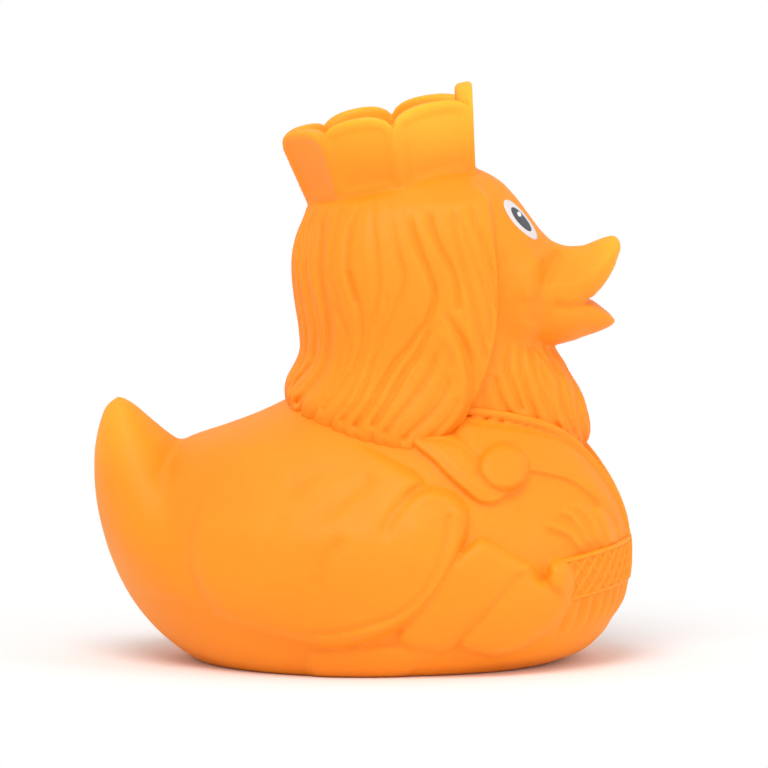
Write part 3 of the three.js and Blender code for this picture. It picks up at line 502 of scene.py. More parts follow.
def outline_distance(px, pz, points):
    """Distance to a smooth closed outline through points, negative inside."""
    pts = [np.array(p, float) for p in points]
    loop = curve([pts[-1]] + pts + pts[:2], 6)
    inside = np.zeros(np.broadcast(px, pz).shape, bool)
    for (ax, az), (bx, bz) in zip(loop, loop[1:]):
        if az != bz:
            crosses = (az > pz) != (bz > pz)
            inside ^= crosses & (px < ax + (pz - az) * (bx - ax) / (bz - az))
    distance, _ = line_place(px, pz, loop)
    return np.where(inside, -distance, distance)


def oval_place(px, pz, oval):
    """0 at the middle of an oval, 1 at its edge."""
    return np.hypot((px - oval[0]) / oval[2], (pz - oval[1]) / oval[3])


def plateau(distance, height, width):
    """A raised area with a rounded edge."""
    return height * (1 - np.exp(np.minimum(distance, 0) / width))


# Body

def body_side_power(x):
    """How square the body's sections are: pointed behind, fuller in front."""
    return BACK_POWER + (FRONT_POWER - BACK_POWER) * smoothstep(-16, 16, x)


def body_field(g):
    reach = np.where(g.x > 0, smooth_rows(BODY_ROWS, 2, g.z), -smooth_rows(BODY_ROWS, 1, g.z))
    u = (np.abs(g.x) / reach) ** np.where(g.x > 0, CHEST_POWER, 2.0)
    v = (g.y / smooth_rows(BODY_ROWS, 3, g.z)) ** (2 / body_side_power(g.x))
    field = distance_like(g, np.sqrt(u + v + 1e-9) - 1)
    return blend_max(field, g.full(g.z - BODY_TOP), 1)


def tail_field(g):
    hub = smooth_rows(TAIL_ROWS, 2, g.z)
    dx = g.x - hub
    ahead = dx > 0
    reach = np.where(ahead, smooth_rows(TAIL_ROWS, 3, g.z) - hub, hub - smooth_rows(TAIL_ROWS, 1, g.z))
    u = np.abs(dx) / reach
    v = g.y / smooth_rows(TAIL_ROWS, 4, g.z)
    field = distance_like(g, np.sqrt(u * u + np.where(ahead, v ** (2 / 1.6), v * v) + 1e-9) - 1)
    field = blend_max(field, g.full(g.z - TAIL_TOP), 2.4)
    return blend_max(field, g.full(TAIL_ROWS[0, 0] - g.z), 1)


class Sketch:
    """A fine flat map, most often over the side view from VIEW_RISE above."""

    def __init__(self, low, high, step=0.12):
        self.step = step
        self.x = np.arange(low[0], high[0], step)[:, None]
        self.rise = np.arange(low[1], high[1], step)[None, :]

    def read(self, values, x, rise):
        """The map's values at any places."""
        px = np.clip((x - self.x[0, 0]) / self.step, 0, values.shape[0] - 1.001)
        pr = np.clip((rise - self.rise[0, 0]) / self.step, 0, values.shape[1] - 1.001)
        px, pr = np.broadcast_arrays(px, pr)
        i = px.astype(int)
        j = pr.astype(int)
        fx = px - i
        fr = pr - j
        return ((values[i, j] * (1 - fr) + values[i, j + 1] * fr) * (1 - fx)
                + (values[i + 1, j] * (1 - fr) + values[i + 1, j + 1] * fr) * fx)

    def over(self, g, values):
        """The map's values at every place of a grid, seen from the side."""
        return self.read(values, g.x, g.rise)

    def lines(self, drawn, start=0.15, end=0.1):
        """Depth of a set of lines, each with a narrow core and a wide flank, fading at its ends."""
        total = np.zeros((self.x.shape[0], self.rise.shape[1]))
        for points, reach, depth in drawn:
            d, along = line_place(self.x, self.rise, open_line(points, 3))
            shape = 0.7 * np.exp(-(d / reach) ** 2) + 0.3 * np.exp(-(d / (2.4 * reach)) ** 2)
            fade = smoothstep(0, start, along)
            if end > 0:
                fade = fade * smoothstep(1, 1 - end, along)
            total = np.maximum(total, depth * shape * fade)
        return total


def side_relief(sketch):
    """Height of clothes and feathers over the body."""
    px, pr = sketch.x, sketch.rise
    edge = outline_distance(px, pr, SLEEVE)
    fade = 1 - smoothstep(18, 31, pr) * smoothstep(9, -4, px)
    fade = fade * (0.6 + 0.4 * smoothstep(-22, -4, px))
    on_sleeve = (edge < 0) * 1.0
    sleeve = plateau(edge, SLEEVE_HEIGHT, 0.7) * fade
    hem, _ = line_place(px, pr, open_line(HEM))
    sleeve = sleeve - on_sleeve * 0.5 * np.exp(-(hem / 0.5) ** 2)
    for points, reach, depth in FOLDS:
        sleeve = sleeve - on_sleeve * depth * crease(px, pr, points, reach)
    for points, reach, height in SWELLS:
        sleeve = sleeve + on_sleeve * height * crease(px, pr, points, reach)
    wing = plateau(outline_distance(px, pr, WING), WING_HEIGHT, 0.5) * (0.5 + 0.5 * smoothstep(4, 22, px))
    relief = np.maximum(sleeve, wing)
    for outline, height, rounding in FEATHERS:
        relief = np.maximum(relief, plateau(outline_distance(px, pr, outline), height, rounding))
    relief = relief - 0.6 * np.exp(-oval_place(px, pr, THUMB_DENT) ** 2)
    tab_edge = outline_distance(px, pr, TAB)
    tab = plateau(tab_edge, TAB_HEIGHT, 0.4)
    tab = tab - 0.3 * (tab_edge < 0) * np.exp(-((tab_edge + 1.2) / 0.35) ** 2)
    disc_edge = (oval_place(px, pr, DISC) - 1) * DISC[3]
    disc = plateau(disc_edge, DISC_HEIGHT, 0.4)
    for points in TUNIC_RIDGES:
        relief = np.maximum(relief, 0.9 * crease(px, pr, points, 0.8, 0.14))
    return np.maximum(relief, np.maximum(tab, disc))


def front_angle(x, y, z):
    """Angle round the body from straight ahead."""
    return np.arctan2(y / smooth_rows(BODY_ROWS, 3, z), x / smooth_rows(BODY_ROWS, 2, z))


def belt_middle(angle):
    return BELT_Z - BELT_DROP * (1 - np.cos(angle))


def front_relief(g):
    """Mantle, and tunic gathered above and below the belt, by angle round the front."""
    angle = front_angle(g.x, g.y, g.z)
    along = angle * FRONT_REACH
    up = g.z - belt_middle(angle)
    below = -up - BELT_HALF
    above = up - BELT_HALF
    gathers = 0.75 * np.abs(np.sin(along * np.pi / 3.3)) ** 0.8
    gathers = gathers * smoothstep(-0.9, 0, below) * (1 - smoothstep(2.5, 7, below))
    gathers = gathers * (1 - smoothstep(0.8, 1.1, angle))
    tucks = 0.5 * np.abs(np.sin(along * np.pi / 3.6)) ** 0.9 * smoothstep(-0.9, 0, above)
    tucks = tucks * (1 - smoothstep(1, 4.5, above)) * (1 - smoothstep(0.4, 0.6, angle))
    # the mantle is drawn flat, degrees turned into millimetres along the chest
    sketch = Sketch((-4, 14), (60, 44), 0.15)
    outline = [(math.radians(a) * FRONT_REACH, z) for a, z in MANTLE]
    edge = outline_distance(sketch.x, sketch.rise, outline)
    band = plateau(edge, MANTLE_HEIGHT, 0.3) - 0.35 * (edge < 0) * np.exp(-((edge + 1.0) / 0.3) ** 2)
    # flatter towards the middle of the chest
    mantle = (0.35 + 0.65 * smoothstep(0.15, 0.5, angle)) * sketch.read(band, along, g.z)
    return np.maximum(np.maximum(gathers, tucks), mantle)


def front_place(angle, z):
    """A point on the bare body at an angle from straight ahead."""
    front = smooth_rows(BODY_ROWS, 2, z)
    width = smooth_rows(BODY_ROWS, 3, z)
    c = np.cos(angle)
    s = np.sin(angle)
    share = (np.abs(c) ** CHEST_POWER + np.abs(s) ** (2 / body_side_power(front * c))) ** -0.5
    return np.stack(np.broadcast_arrays(front * c * share, width * s * share, z + 0 * angle), -1)


def front_normal(angle, z):
    """Direction straight out of the bare body at such a point."""
    round_ = front_place(angle + 0.02, z) - front_place(angle - 0.02, z)
    rise = front_place(angle, z + 0.3) - front_place(angle, z - 0.3)
    normal = np.cross(round_, rise)
    return normal / np.linalg.norm(normal, axis=-1, keepdims=True)


def cord_field(g):
    points = []
    for degrees, z in CORD_PATH:
        angle = np.array(math.radians(degrees))
        z = np.array(float(z))
        out = CORD_OUT * (0.15 + 0.85 * smoothstep(7, 31, degrees))
        points.append(front_place(angle, z) + front_normal(angle, z) * out)
    line = open_line(points, 4)
    best = np.full(g.shape, 1e9)
    for a, b in zip(line, line[1:]):
        d = b - a
        x, y, z = g.x - a[0], g.y - a[1], g.z - a[2]
        t = np.clip((x * d[0] + y * d[1] + z * d[2]) / (d @ d), 0, 1)
        off = (x - t * d[0]) ** 2 + (y - t * d[1]) ** 2 + (z - t * d[2]) ** 2
        best = np.minimum(best, off)
    return np.sqrt(best) - CORD_RADIUS


def whole_body(g):
    field = body_field(g)
    cord = cord_field(g)
    sketch = Sketch((-32, -8), (45, 40))
    relief = sketch.over(g, side_relief(sketch))
    field = field - np.maximum(relief, front_relief(g))
    field = blend_min(field, tail_field(g), 1.6)
    field = blend_min(field, cord, 0.3)
    return blend_max(field, g.full(-g.z), 0.6)


# Head

def grooves(g, phase, most, fine=0.35):
    """Depth of the cuts between locks, shallower where they lie close together."""
    width = 1 / np.maximum(steepness(g, phase), 0.05)
    coarse = np.clip(0.3 * width, 0, most) * (1 - np.abs(np.sin(np.pi * phase)) ** 0.6)
    small = np.clip(0.22 * width, 0, most) * fine * (1 - np.abs(np.sin(2 * np.pi * phase)) ** 0.8)
    return coarse + small


def crown_height(g):
    """Height over the plane of the crown's foot."""
    return -(g.x - CROWN[0]) * math.sin(CROWN_TILT) + (g.z - CROWN[2]) * math.cos(CROWN_TILT)


def hair_along(x, rear):
    """Place along the hair: -1 at its rear, 0 at its hub, towards 1 in front."""
    return np.where(x > HAIR_HUB, (x - HAIR_HUB) / HAIR_REACH, (x - HAIR_HUB) / (HAIR_HUB - rear))


def hair_field(g):
    # level at the hair's front edge, since the hair's rows are tipped back like the crown
    cosine = np.clip((g.side_x - HAIR_HUB) / HAIR_REACH, -0.76, 0.95)
    level = np.broadcast_to(g.side_z, (len(g.xs), len(g.zs))).copy()
    for _ in range(5):
        level = g.side_z - (smooth_rows(HAIR_ROWS, 4, level) - level) * (1 - cosine) / 2
    front_x = smooth_rows(HAIR_ROWS, 1, level)
    front_y = smooth_rows(HAIR_ROWS, 2, level)
    rear_x = smooth_rows(HAIR_ROWS, 3, level)
    width = smooth_rows(HAIR_ROWS, 5, level)
    cos_front = (front_x - HAIR_HUB) / HAIR_REACH
    sin_front = np.sqrt(1 - cos_front ** 2)
    forward = np.maximum(g.side_x - HAIR_HUB, 0) / HAIR_REACH
    pinch = 1 - (1 - front_y / (width * sin_front)) * np.minimum(forward / cos_front, 1.15) ** 2
    v = g.y / (width * pinch)[:, None, :]
    u = np.broadcast_to(hair_along(g.side_x, rear_x)[:, None, :], v.shape)
    field = distance_like(g, np.hypot(u, v) - 1)
    angle = np.arctan2(v, u)
    phase = np.zeros(g.shape)
    numbers = np.arange(len(LOCKS), dtype=float) + REAR_LOCKS
    for k, z in enumerate(g.zs):
        at = np.array([np.interp(z, LOCK_HEIGHTS, row) for row in LOCKS])
        rear = np.interp(z, HAIR_ROWS[:, 4], HAIR_ROWS[:, 3])
        alpha = np.arccos(np.clip(hair_along(at, rear), -0.999, 0.999))
        stops = np.concatenate([[0.4], np.sort(alpha), [np.pi]])
        values = np.concatenate([[numbers[-1] + 3], numbers[::-1], [0]])
        phase[:, :, k] = np.interp(angle[:, :, k], stops, values)
    sketch = Sketch((-18, 28), (26, 80))
    behind = smoothstep(2.35, 2.6, angle)
    fine = grooves(g, phase, LOCK_DEPTH) * (LOCK_SIDE_SHARE + (1 - LOCK_SIDE_SHARE) * behind)
    drawn = sketch.over(g, sketch.lines(HAIR_GROOVES, end=0))
    cut = np.maximum(drawn, fine) * (0.5 + 0.5 * smoothstep(77, 72, level))[:, None, :]
    field = field + cut - sketch.over(g, sketch.lines(HAIR_RIDGES))
    field = blend_max(field, g.full((g.side_x - front_x)[:, None, :]), 0.8)
    hem = np.interp(g.xs, HAIR_HEM[:, 0], HAIR_HEM[:, 1])[:, None, None]
    inner = HEM_SLOPE * np.clip(-field, 0, 2.5)
    field = blend_max(field, (hem - inner - g.rise) * 0.45 + 0.6 * cut, 0.8)
    return blend_max(field, g.full(crown_height(g) - 0.6), 1.2)


def skull_field(g):
    dx = g.x - HEAD_HUB
    back = smooth_rows(HEAD_ROWS, 1, g.z)
    front = smooth_rows(HEAD_ROWS, 2, g.z)
    reach = np.where(dx > 0, front - HEAD_HUB, HEAD_HUB - back)
    field = distance_like(g, np.hypot(dx / reach, g.y / smooth_rows(HEAD_ROWS, 3, g.z)) - 1)
    field = blend_max(field, g.full(crown_height(g) - 1.4), 0.8)
    return blend_max(field, g.full(40 - g.z), 1)


def beard_field(g):
    front = smooth_rows(BEARD_ROWS, 1, g.z)
    width = smooth_rows(BEARD_ROWS, 2, g.z)
    u = (g.x - BEARD_HUB) / (front - BEARD_HUB)
    v = g.y / width
    field = distance_like(g, np.hypot(u, v) - 1)
    angle = np.arctan2(v, u)
    phase = 8.6 * angle + 0.5 * np.sin(0.42 * g.z + 2.3 * angle) - 0.03 * (g.z - 45)
    sketch = Sketch((16, 30), (38, 60))
    ahead = smoothstep(0.75, 0.45, angle)
    fine = grooves(g, phase, BEARD_DEPTH, 0.3) * (BEARD_SIDE_SHARE + (1 - BEARD_SIDE_SHARE) * ahead)
    drawn = sketch.over(g, sketch.lines(BEARD_GROOVES, end=0))
    cut = np.maximum(drawn, fine * smoothstep(61, 53, g.z))
    field = field + cut
    x, height, slope, end = BEARD_TOP
    top = np.minimum(height + slope * (x - g.x), end)
    field = blend_max(field, (g.z - top) * 0.75, 0.8)
    field = blend_max(field, g.full(0.5 - g.x), 1)
    x, height, slope = BEARD_HEM
    hem = height - slope * (g.x - x)
    inner = HEM_SLOPE * np.clip(-field, 0, 2.5)
    return blend_max(field, (hem - inner - g.z) * 0.45 + 0.3 * cut, 0.6)


def bill_field(g, rows, above, below):
    width = smooth_rows(rows, 1, g.x)
    top = smooth_rows(rows, 2, g.x)
    edge = smooth_rows(rows, 3, g.x)
    bottom = smooth_rows(rows, 4, g.x)
    v = g.y / width
    up = np.maximum((g.z - edge) / (top - edge), 0)
    down = np.maximum((edge - g.z) / (edge - bottom), 0)
    over = distance_like(g, v ** above[0] + up ** above[1] - 1)
    under = distance_like(g, v ** below[0] + down ** below[1] - 1)
    field = np.where(g.z > edge, over, under)
    field = blend_max(field, g.full(g.x - rows[-1, 0]), 1.2)
    return blend_max(field, g.full(rows[0, 0] - g.x), 1)


def cheek_field(g):
    cx, cy, cz, rx, ry, rz = CHEEK
    return (np.sqrt(((g.x - cx) / rx) ** 2 + ((g.y - cy) / ry) ** 2 + ((g.z - cz) / rz) ** 2) - 1) * ry


def crown_field(g):
    along = (g.x - CROWN[0]) * math.cos(CROWN_TILT) + (g.z - CROWN[2]) * math.sin(CROWN_TILT)
    along, high, across = np.broadcast_arrays(along, crown_height(g), g.y / CROWN_RATIO)
    turn = np.degrees(np.arctan2(across, along))
    distance = np.hypot(along, across)
    flat = np.ones(g.shape)
    share = np.zeros(g.shape)
    top = np.full(g.shape, CROWN_NOTCH)
    for low, up, height in zip(PLATE_CORNERS, PLATE_CORNERS[1:], PLATE_TOPS):
        half = (up - low) / 2
        here = (turn >= low) & (turn <= up)
        off = np.radians(turn - low - half)
        flat = np.where(here, math.cos(math.radians(half)) / np.cos(off), flat)
        share = np.where(here, np.tan(off) / math.tan(math.radians(half)), share)
        arch = CROWN_NOTCH + (height - CROWN_NOTCH) * np.sqrt(np.clip(1 - np.abs(share) ** 2.4, 0, 1))
        top = np.where(here, arch, top)
    flare = CROWN_FLARE + CROWN_REAR_FLARE * smoothstep(110, 180, turn)
    radius = (CROWN_RADIUS + flare * np.maximum(high, 0)) * flat
    outer = (distance - radius) * flat
    panel = smoothstep(0.86, 0.66, np.abs(share))
    panel = panel * smoothstep(1.5, 2.5, high) * smoothstep(1.2, 2.2, top - high)
    inner = -(outer + CROWN_WALL)
    ring = blend_max(outer + PANEL_DEPTH * panel, inner, 0.7)
    ring = blend_max(ring, high - top, 0.8)
    ring = blend_max(ring, -high - CROWN_FOOT, 0.5)
    floor = blend_max(distance - WELL_RADIUS, high - WELL_TOP + 0.006 * distance ** 2, 0.5)
    floor = blend_max(floor, -high - WELL_DEPTH, 0.5)
    return blend_min(ring, floor, 0.8)


def whole_head(g):
    face = blend_min(skull_field(g), cheek_field(g), 2.2)
    upper = bill_field(g, UPPER_BILL, (1.8, 1.05), (4.5, 4.5))
    lower = bill_field(g, LOWER_BILL, (5, 5), (2.2, 2.2))
    bill = blend_min(upper, lower, 0.2 + 2.2 * smoothstep(36.0, 33.4, g.x))
    face = blend_min(face, bill, 1.2)
    sketch = Sketch((20, 48), (42, 70))
    face = face + sketch.over(g, sketch.lines(FACE_GROOVES) - sketch.lines(FACE_RIDGES))
    face = blend_min(face, beard_field(g), 0.5)
    field = blend_min(face, hair_field(g), 0.4)
    return blend_min(field, crown_field(g), 0.35)


# From field to mesh

CORNERS = [(0, 0, 0), (1, 0, 0), (0, 1, 0), (1, 1, 0), (0, 0, 1), (1, 0, 1), (0, 1, 1), (1, 1, 1)]
EDGES = [(0, 1), (2, 3), (4, 5), (6, 7), (0, 2), (1, 3), (4, 6), (5, 7), (0, 4), (1, 5), (2, 6), (3, 7)]


def net_surface(field):
    """A quad mesh with one point in each cell that the surface crosses."""
    nx, ny, nz = field.shape
    inside = field < 0
    count = np.zeros((nx - 1, ny - 1, nz - 1), np.int8)
    for cx, cy, cz in CORNERS:
        count += inside[cx:nx - 1 + cx, cy:ny - 1 + cy, cz:nz - 1 + cz]
    cells = np.argwhere((count > 0) & (count < 8))
    index = np.full(count.shape, -1, np.int64)
    index[tuple(cells.T)] = np.arange(len(cells))
    x, y, z = cells.T
    values = np.stack([field[x + cx, y + cy, z + cz] for cx, cy, cz in CORNERS], 1)
    total = np.zeros((len(cells), 3))
    hits = np.zeros(len(cells))
    for a, b in EDGES:
        crossed = (values[:, a] < 0) != (values[:, b] < 0)
        t = np.where(crossed, values[:, a] / np.where(crossed, values[:, a] - values[:, b], 1), 0)
        start = np.array(CORNERS[a], float)
        step = np.array(CORNERS[b], float) - start
        total += np.where(crossed[:, None], start + t[:, None] * step, 0)
        hits += crossed
    points = cells + total / hits[:, None]
    quads = []
    for axis in range(3):
        near = [slice(1, None)] * 3
        near[axis] = slice(0, -1)
        a = inside[tuple(near)]
        b = inside[1:, 1:, 1:]
        cut = np.argwhere(a != b)
        base = cut + 1
        base[:, axis] -= 1
        keep = np.all(base < np.array(index.shape), axis=1)
        base = base[keep]
        rising = a[tuple(cut[keep].T)]
        o1, o2 = np.roll(np.eye(3, dtype=int), -axis - 1, axis=0)[:2]
        ring = [base - o1 - o2, base - o2, base, base - o1]
        q = np.stack([index[tuple(r.T)] for r in ring], 1)
        q = np.where(rising[:, None], q, q[:, ::-1])
        quads.append(q)
    quads = np.concatenate(quads)
    return points, quads[(quads >= 0).all(axis=1)]


def sample(field, points):
    """Value and slope of the field at points given in cells."""
    base = np.clip(np.floor(points).astype(int), 0, np.array(field.shape) - 2)
    f = points - base
    corner = {c: field[base[:, 0] + c[0], base[:, 1] + c[1], base[:, 2] + c[2]] for c in CORNERS}
    fx, fy, fz = f.T

    def mix(a, b, t):
        return a * (1 - t) + b * t

    def level(cz):
        return [mix(corner[(0, cy, cz)], corner[(1, cy, cz)], fx) for cy in (0, 1)]

    low = level(0)
    high = level(1)
    value = mix(mix(low[0], low[1], fy), mix(high[0], high[1], fy), fz)
    slope_z = mix(high[0], high[1], fy) - mix(low[0], low[1], fy)
    slope_y = mix(low[1] - low[0], high[1] - high[0], fz)
    rise = [[corner[(1, cy, cz)] - corner[(0, cy, cz)] for cz in (0, 1)] for cy in (0, 1)]
    slope_x = mix(mix(*rise[0], fz), mix(*rise[1], fz), fy)
    return value, np.stack([slope_x, slope_y, slope_z], 1)


class Solid:
    """A field over the whole width, with the mesh of its surface."""

    def __init__(self, g, field):
        self.step = g.step
        self.field = np.concatenate([field[:, :0:-1, :], field], axis=1)
        self.origin = np.array([g.xs[0], -g.ys[-1], g.zs[0]])

    def at(self, places):
        value, slope = sample(self.field, (np.asarray(places) - self.origin) / self.step)
        return value, slope / self.step

    def surface(self):
        cells, quads = net_surface(self.field)
        cells = relaxed(self.field, cells, quads)
        return self.origin + cells * self.step, quads


def without(points, quads, other, depth):
    """Leaves out the faces that lie deeper than depth inside another solid."""
    limit = np.array(other.field.shape) * other.step + other.origin - other.step * 1.01
    inside = np.all((points > other.origin) & (points < limit), axis=1)
    value = np.full(len(points), 1e3)
    value[inside] = other.at(points[inside])[0]
    keep = (value[quads] > -depth).any(axis=1)
    quads = quads[keep]
    used = np.unique(quads)
    fresh = np.full(len(points), -1)
    fresh[used] = np.arange(len(used))
    return points[used], fresh[quads]


def relaxed(field, points, quads, rounds=2):
    """Evens out the points along the surface and lays them back on it."""
    edges = np.concatenate([quads[:, [k, (k + 1) % 4]] for k in range(4)])
    count = len(points)
    degree = np.bincount(edges[:, 0], minlength=count) + np.bincount(edges[:, 1], minlength=count)
    for _ in range(rounds):
        total = np.zeros_like(points)
        for axis in range(3):
            total[:, axis] = (np.bincount(edges[:, 0], points[edges[:, 1], axis], count)
                              + np.bincount(edges[:, 1], points[edges[:, 0], axis], count))
        points = 0.5 * points + 0.5 * total / np.maximum(degree, 1)[:, None]
        value, slope = sample(field, points)
        size = np.maximum((slope ** 2).sum(axis=1), 1e-6)
        move = np.clip(value / size, -0.6, 0.6)
        points = points - slope * move[:, None]
    return points


def mesh_object(name, points, faces, material):
    mesh = bpy.data.meshes.new(name)
    mesh.from_pydata((points * MM).tolist(), [], faces)
    mesh.validate()
    mesh.update()
    mesh.polygons.foreach_set("use_smooth", [True] * len(mesh.polygons))
    mesh.materials.append(material)
    obj = bpy.data.objects.new(name, mesh)
    bpy.context.scene.collection.objects.link(obj)
    return obj


# Materials

def node(tree, kind, inputs, **settings):
    """A new node. Each input takes a value or the output that feeds it."""
    made = tree.nodes.new("ShaderNode" + kind)
    for name, value in settings.items():
        setattr(made, name, value)
    for name, value in inputs.items():
        if isinstance(value, bpy.types.NodeSocket):
            tree.links.new(value, made.inputs[name])
        else:
            made.inputs[name].default_value = value
    return made


def coordinates(tree):
    return node(tree, "TexCoord", {}).outputs["Object"]


def noise(tree, scale, detail=3.0):
    made = node(tree, "TexNoise", {"Vector": coordinates(tree), "Scale": scale, "Detail": detail})
    return made.outputs["Fac"]


def tint(tree, scale, detail, low, high):
    """A colour that drifts between two."""
    made = node(tree, "ValToRGB", {"Fac": noise(tree, scale, detail)})
    for element, place, colour in zip(made.color_ramp.elements, (0.3, 0.7), (low, high)):
        element.position = place
        element.color = (*colour, 1)
    return made.outputs["Color"]


def faded(tree, operation, places, near, far, start, end, kind="SMOOTHSTEP"):
    """Goes from start to end where a length goes from near to far."""
    length = node(tree, "VectorMath", places, operation=operation).outputs["Value"]
    inputs = {"Value": length, "From Min": near * MM, "From Max": far * MM, "To Min": start, "To Max": end}
    return node(tree, "MapRange", inputs, interpolation_type=kind).outputs["Result"]


def laid_over(tree, below, colour, share):
    """A colour laid over another."""
    mix = node(tree, "Mix", {"Factor": share, "A": below, "B": colour}, data_type="RGBA")
    return mix.outputs["Result"]


def material(name):
    mat = bpy.data.materials.new(name)
    mat.use_nodes = True
    tree = mat.node_tree
    shader = next(n for n in tree.nodes if n.type == "BSDF_PRINCIPLED")
    return mat, tree, shader


def surface_detail(tree, shader, rough_low, rough_high, grain, strength):
    """Uneven gloss and a fine grain."""
    cloud = noise(tree, 260.0)
    spread = node(tree, "MapRange", {"Value": cloud, "To Min": rough_low, "To Max": rough_high})
    tree.links.new(spread.outputs["Result"], shader.inputs["Roughness"])
    fine = noise(tree, grain, 4.0)
    bump = node(tree, "Bump", {"Height": fine, "Strength": strength, "Distance": 0.0003})
    tree.links.new(bump.outputs["Normal"], shader.inputs["Normal"])


# painted glow where the vinyl is thin and lets light through: place, reach of the full effect, reach of its
# end, strength
GLOW_PLACES = [((-42, 0, 42), 2, 20, 0.5), ((42, 0, 66), 1, 14, 0.75), ((5, 0, 112), 27, 37, 0.9)]
# paler orange of the painted glow
GLOW_COLOUR = (1.0, 0.44, 0.02, 1)


def vinyl_material():
    mat, tree, shader = material("orange_vinyl")
    colour = tint(tree, 45.0, 2.0, (0.94, 0.262, 0.006), (0.99, 0.29, 0.008))
    # painted glow: the colour turns paler at the tail, the bill and the top of the crown, standing in for
    # the light that the thin vinyl lets through there
    # thin holds the share of the painted glow at each place
    thin = 0.0
    for place, near, far, share in GLOW_PLACES:
        places = {0: coordinates(tree), 1: [value * MM for value in place]}
        here = faded(tree, "DISTANCE", places, near, far, share, 0)
        thin = node(tree, "Math", {0: thin, 1: here}, operation="MAXIMUM").outputs["Value"]
    tree.links.new(laid_over(tree, colour, GLOW_COLOUR, thin), shader.inputs["Base Color"])
    shader.inputs["Subsurface Weight"].default_value = 0.35
    shader.inputs["Subsurface Radius"].default_value = (1.0, 0.62, 0.14)
    shader.inputs["Subsurface Scale"].default_value = 0.0035
    shader.inputs["Specular IOR Level"].default_value = 0.3
    surface_detail(tree, shader, 0.5, 0.62, 2200.0, 0.12)
    return mat


def print_material(name, low, high):
    mat, tree, shader = material(name)
    tree.links.new(tint(tree, 900.0, 3.0, low, high), shader.inputs["Base Color"])
    surface_detail(tree, shader, 0.38, 0.5, 3000.0, 0.08)
    return mat


def floor_material():
    mat, tree, shader = material("pale_floor")
    colour = tint(tree, 3.0, 3.0, (0.92, 0.92, 0.92), (0.94, 0.94, 0.94))
    tree.links.new(colour, shader.inputs["Base Color"])
    surface_detail(tree, shader, 0.85, 0.95, 400.0, 0.03)
    # away from the duck the floor turns into plain white where the camera sees it
    away = faded(tree, "LENGTH", {0: coordinates(tree)}, FLOOR_NEAR, FLOOR_FAR, 0, 1)
    seen = node(tree, "LightPath", {}).outputs["Is Camera Ray"]
    share = node(tree, "Math", {0: away, 1: seen}, operation="MULTIPLY").outputs["Value"]
    white = node(tree, "Emission", {"Color": WHITE, "Strength": 1.0}).outputs["Emission"]
    mix = node(tree, "MixShader", {"Fac": share, 1: shader.outputs["BSDF"], 2: white})
    output = next(n for n in tree.nodes if n.type == "OUTPUT_MATERIAL")
    tree.links.new(mix.outputs["Shader"], output.inputs["Surface"])
    return mat


# The duck

# faces deeper than this inside the other surface are left out
BURIED = 1.5

vinyl = vinyl_material()
body_grid = Grid((-45, 0, -2), (44, 37, 48), BODY_STEP)
head_grid = Grid((-18, 0, 28.4), (43, 25, 94), HEAD_STEP)
body = Solid(body_grid, whole_body(body_grid))
head = Solid(head_grid, whole_head(head_grid))
for name, solid, other in (("duck", body, head), ("duck_head", head, body)):
    points, quads = without(*solid.surface(), other, BURIED)
    points[:, 2] = np.maximum(points[:, 2], 0)
    obj = mesh_object(name, points, quads.tolist(), vinyl)
    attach(obj, "root")
    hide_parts("duck_body")


# Belt with its raised lattice

def belt_object():
    across = np.arange(-BELT_ANGLE, BELT_ANGLE + 0.001, BELT_TURN)
    rows = np.linspace(-BELT_HALF, BELT_HALF, BELT_LINES)
    angle, up = np.meshgrid(across, rows, indexing="ij")
    z = belt_middle(angle) + up
    base = front_place(angle, z)
    normal = front_normal(angle, z)
    along = angle * FRONT_REACH
    lines = 0
    for place in ((along + up) / LATTICE_PITCH, (along - up) / LATTICE_PITCH):
        off = (place - np.round(place)) * LATTICE_PITCH
        lines = np.maximum(lines, np.exp(-(off / LATTICE_LINE) ** 2))
    inside = smoothstep(BELT_HALF - 0.5, BELT_HALF - 0.9, np.abs(up))
    rim = np.exp(-((np.abs(up) - BELT_HALF + 0.5) / 0.3) ** 2)
    lift = BELT_HEIGHT + LATTICE_HEIGHT * np.maximum(lines * inside, rim)
    lift = lift * (1 - smoothstep(BELT_HALF - 0.2, BELT_HALF, np.abs(up)) * 1.4)
    place = base + normal * lift[:, :, None]
    corner = np.arange(angle.size).reshape(angle.shape)[:-1, :-1].ravel()
    quads = np.stack([corner, corner + BELT_LINES, corner + BELT_LINES + 1, corner + 1], 1)
    obj = mesh_object("belt", place.reshape(-1, 3), quads.tolist(), vinyl)
    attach(obj, "root")
    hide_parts("duck_body")


belt_object()


# Printed eyes, laid on the face

def face_hit(start, direction):
    """First place where a line meets the duck's surface."""
    place = np.array(start, float)
    for _ in range(60):
        value = head.at(place[None, :])[0][0]
        place = place + direction * min(value, 1.0)
        if abs(value) < 1e-4:
            break
    return place


def eye_frame(side):
    reach = smooth_rows(HEAD_ROWS, 2, np.array([EYE_Z]))[0] - HEAD_HUB
    width = smooth_rows(HEAD_ROWS, 3, np.array([EYE_Z]))[0]
    angle = math.acos((EYE_X - HEAD_HUB) / reach)
    place = np.array([EYE_X, side * width * math.sin(angle), EYE_Z])
    slope = head.at(place[None, :])[1][0]
    normal = slope / np.linalg.norm(slope)
    across = np.cross([0, 0, 1], normal)
    across /= np.linalg.norm(across)
    up = np.cross(normal, across)
    return place, normal, across, up


